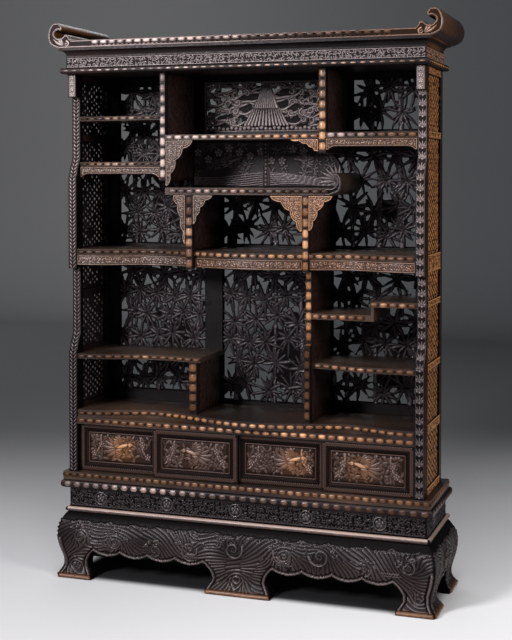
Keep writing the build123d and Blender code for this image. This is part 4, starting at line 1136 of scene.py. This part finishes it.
top_low, top_high = box("top_board")
surface = Surface("top_board", "top_scroll_left", "top_scroll_right")
left, right = surface.low[0], surface.high[0]
field = Field(left, right, top_low[2], surface.high[2], 2.0)
for hand in (-1, 1):
    u, v = hand * (right - 76), top_low[2] + 15
    field.stroke(volute(u, v, 11.0, math.pi / 2, hand, 1.3), 2.6, 2.4, thinning)
    for k in range(3):
        heading = math.pi / 2 - hand * (1.35 - 0.3 * k)
        leaf(field, u + hand * 12, v - 6 + 3 * k, heading, 52.0 - 8 * k, 8.0, 2.2, hand * 0.7)
# Pale at the left end, golden at the right: the pale end is partly a painted sheen.
gilt = np.interp(field.u, (left, 0, right), (-0.7, -0.3, 0.5))[None, :]
skin("top_edge", field, surface, FRONT, 3.2, "worn_carving", border=(5.0, 2.0), gilt=gilt)
for z, pitch, tall, bright in (
    (top_high[2] - 8.5, 34.0, 7.5, wear_and_painted_highlight(0.25, 0.35, 0.3, 1.0, -0.9, 0.5)),
    (top_low[2] + 7, 17.0, 3.5, wear_and_painted_highlight(0.15, 0.2, 0.2, 0.6, -0.6, 0.4)),
):
    ends = [(x, top_low[1] + 1, z) for x in (top_low[0] + 75, top_high[0] - 75)]
    bead_row(rolls, ends, pitch, 4, tall, bright)
for x in (SIDE_X - 0.5, 0.5 - SIDE_X):
    for low, high in solids("side_panels_right"):
        for z in (low[2] - 3.5, high[2] + 3.5):
            half_round(rolls, [(x, low[1] - 3, z), (x, high[1] + 3, z)], 2.6, 1.0, 1.0)
rolls.make("edge_rolls", "worn_carving")


# ---- stage, lamps and camera, in metres
def stage_tone(tree):
    """Pale floor, darker to the left and towards a grey wall, with a painted shadow beneath the stand."""
    place = place_of(tree)
    turned = node(tree, "ShaderNodeMapping", node(tree, "ShaderNodeTexCoord").outputs["Object"],
                  Rotation=(0, 0, math.radians(-19)))
    depth = node(tree, "ShaderNodeSeparateXYZ", turned.outputs[0]).outputs["Y"]
    aside = between(tree, place["X"], -1.2, 0.8)
    near = mix_colour(tree, aside, (0.46, 0.46, 0.48), (0.66, 0.66, 0.68))
    far = mix_colour(tree, aside, (0.110, 0.113, 0.116), (0.078, 0.083, 0.087))
    wall = mix_colour(tree, between(tree, place["X"], -5.0, 0.0), (0.33, 0.335, 0.34), (0.14, 0.15, 0.16))
    tone = mix_colour(tree, between(tree, depth, 0.1, 3.0), near, far)
    tone = mix_colour(tree, between(tree, depth, 3.0, 8.0), tone, wall)
    # Painted shadow: within the stand's footprint the floor turns near black.
    past_painted_shadow_ends = between(tree, size_of(tree, place["X"]), 0.65, 0.71)
    past_painted_shadow_sides = between(tree, size_of(tree, place["Y"]), 0.15, 0.21)
    return mix_colour(tree, held(tree, "MAXIMUM", past_painted_shadow_ends, past_painted_shadow_sides), (0.02, 0.02, 0.022), tone)


def stage():
    """Floor that sweeps up into a wall."""
    near, bend, radius, half, tall = -10.0, 7.0, 1.5, 12.0, 8.0
    arc = [(bend + radius * math.sin(a), radius * (1 - math.cos(a))) for a in np.linspace(0, math.pi / 2, 12)]
    line = [(near, 0.0), *arc, (bend + radius, tall)]
    points = [(x, y, z) for y, z in line for x in (-half, half)]
    faces = [(2 * k, 2 * k + 1, 2 * k + 3, 2 * k + 2) for k in range(len(line) - 1)]
    mesh = smooth_mesh("stage", points, faces)
    show("stage", mesh)
    material, tree, shader = new_material("stage")
    put(tree, shader["Base Color"], stage_tone(tree))
    put(tree, shader["Roughness"], 0.9)
    put(tree, shader["Specular IOR Level"], 0.1)
    mesh.materials.append(material)


def lamp(name, place, aim, size, power, colour):
    """Soft rectangular lamp at place, turned towards aim."""
    data = bpy.data.lights.new(name, "AREA")
    data.shape = "RECTANGLE"
    data.size, data.size_y = size
    data.energy = power
    data.color = colour
    made = show(name, data)
    made.location = place
    made.rotation_euler = (Vector(aim) - Vector(place)).to_track_quat("-Z", "Y").to_euler()


def camera():
    """Long lens at about three quarters of the cabinet's height, right of its centre."""
    data = bpy.data.cameras.new("camera")
    data.lens = 71.74
    data.sensor_width = 36.0
    data.shift_y = -0.17
    made = show("camera", data)
    made.location = (1.5295, -4.4265, 1.5033)
    made.rotation_euler = (math.radians(90 - 1.66), 0, math.radians(19.02))
    bpy.context.scene.camera = made


stage()
lamp("key", (-2.2, -4.9, 3.1), (0, 0, 1.1), (1.1, 1.1), 390, (1.0, 0.985, 0.98))
lamp("top", (0.4, -2.6, 4.6), (0.2, -1.2, 0), (2.4, 1.6), 120, (1.0, 1.0, 1.0))
lamp("fill", (4.4, -2.0, 2.6), (0.3, 0, 1.1), (1.4, 2.2), 160, (1.0, 0.97, 0.94))
lamp("rear", (-1.5, 3.2, 4.2), (0, 0, 1.2), (3.0, 2.0), 55, (1.0, 1.0, 1.0))
camera()
world = bpy.data.worlds.new("studio")
world.use_nodes = True
world.node_tree.nodes["Background"].inputs["Color"].default_value = (0.9, 0.95, 1.0, 1)
world.node_tree.nodes["Background"].inputs["Strength"].default_value = 0.09
bpy.context.scene.world = world
bpy.context.scene.view_settings.view_transform = "Standard"
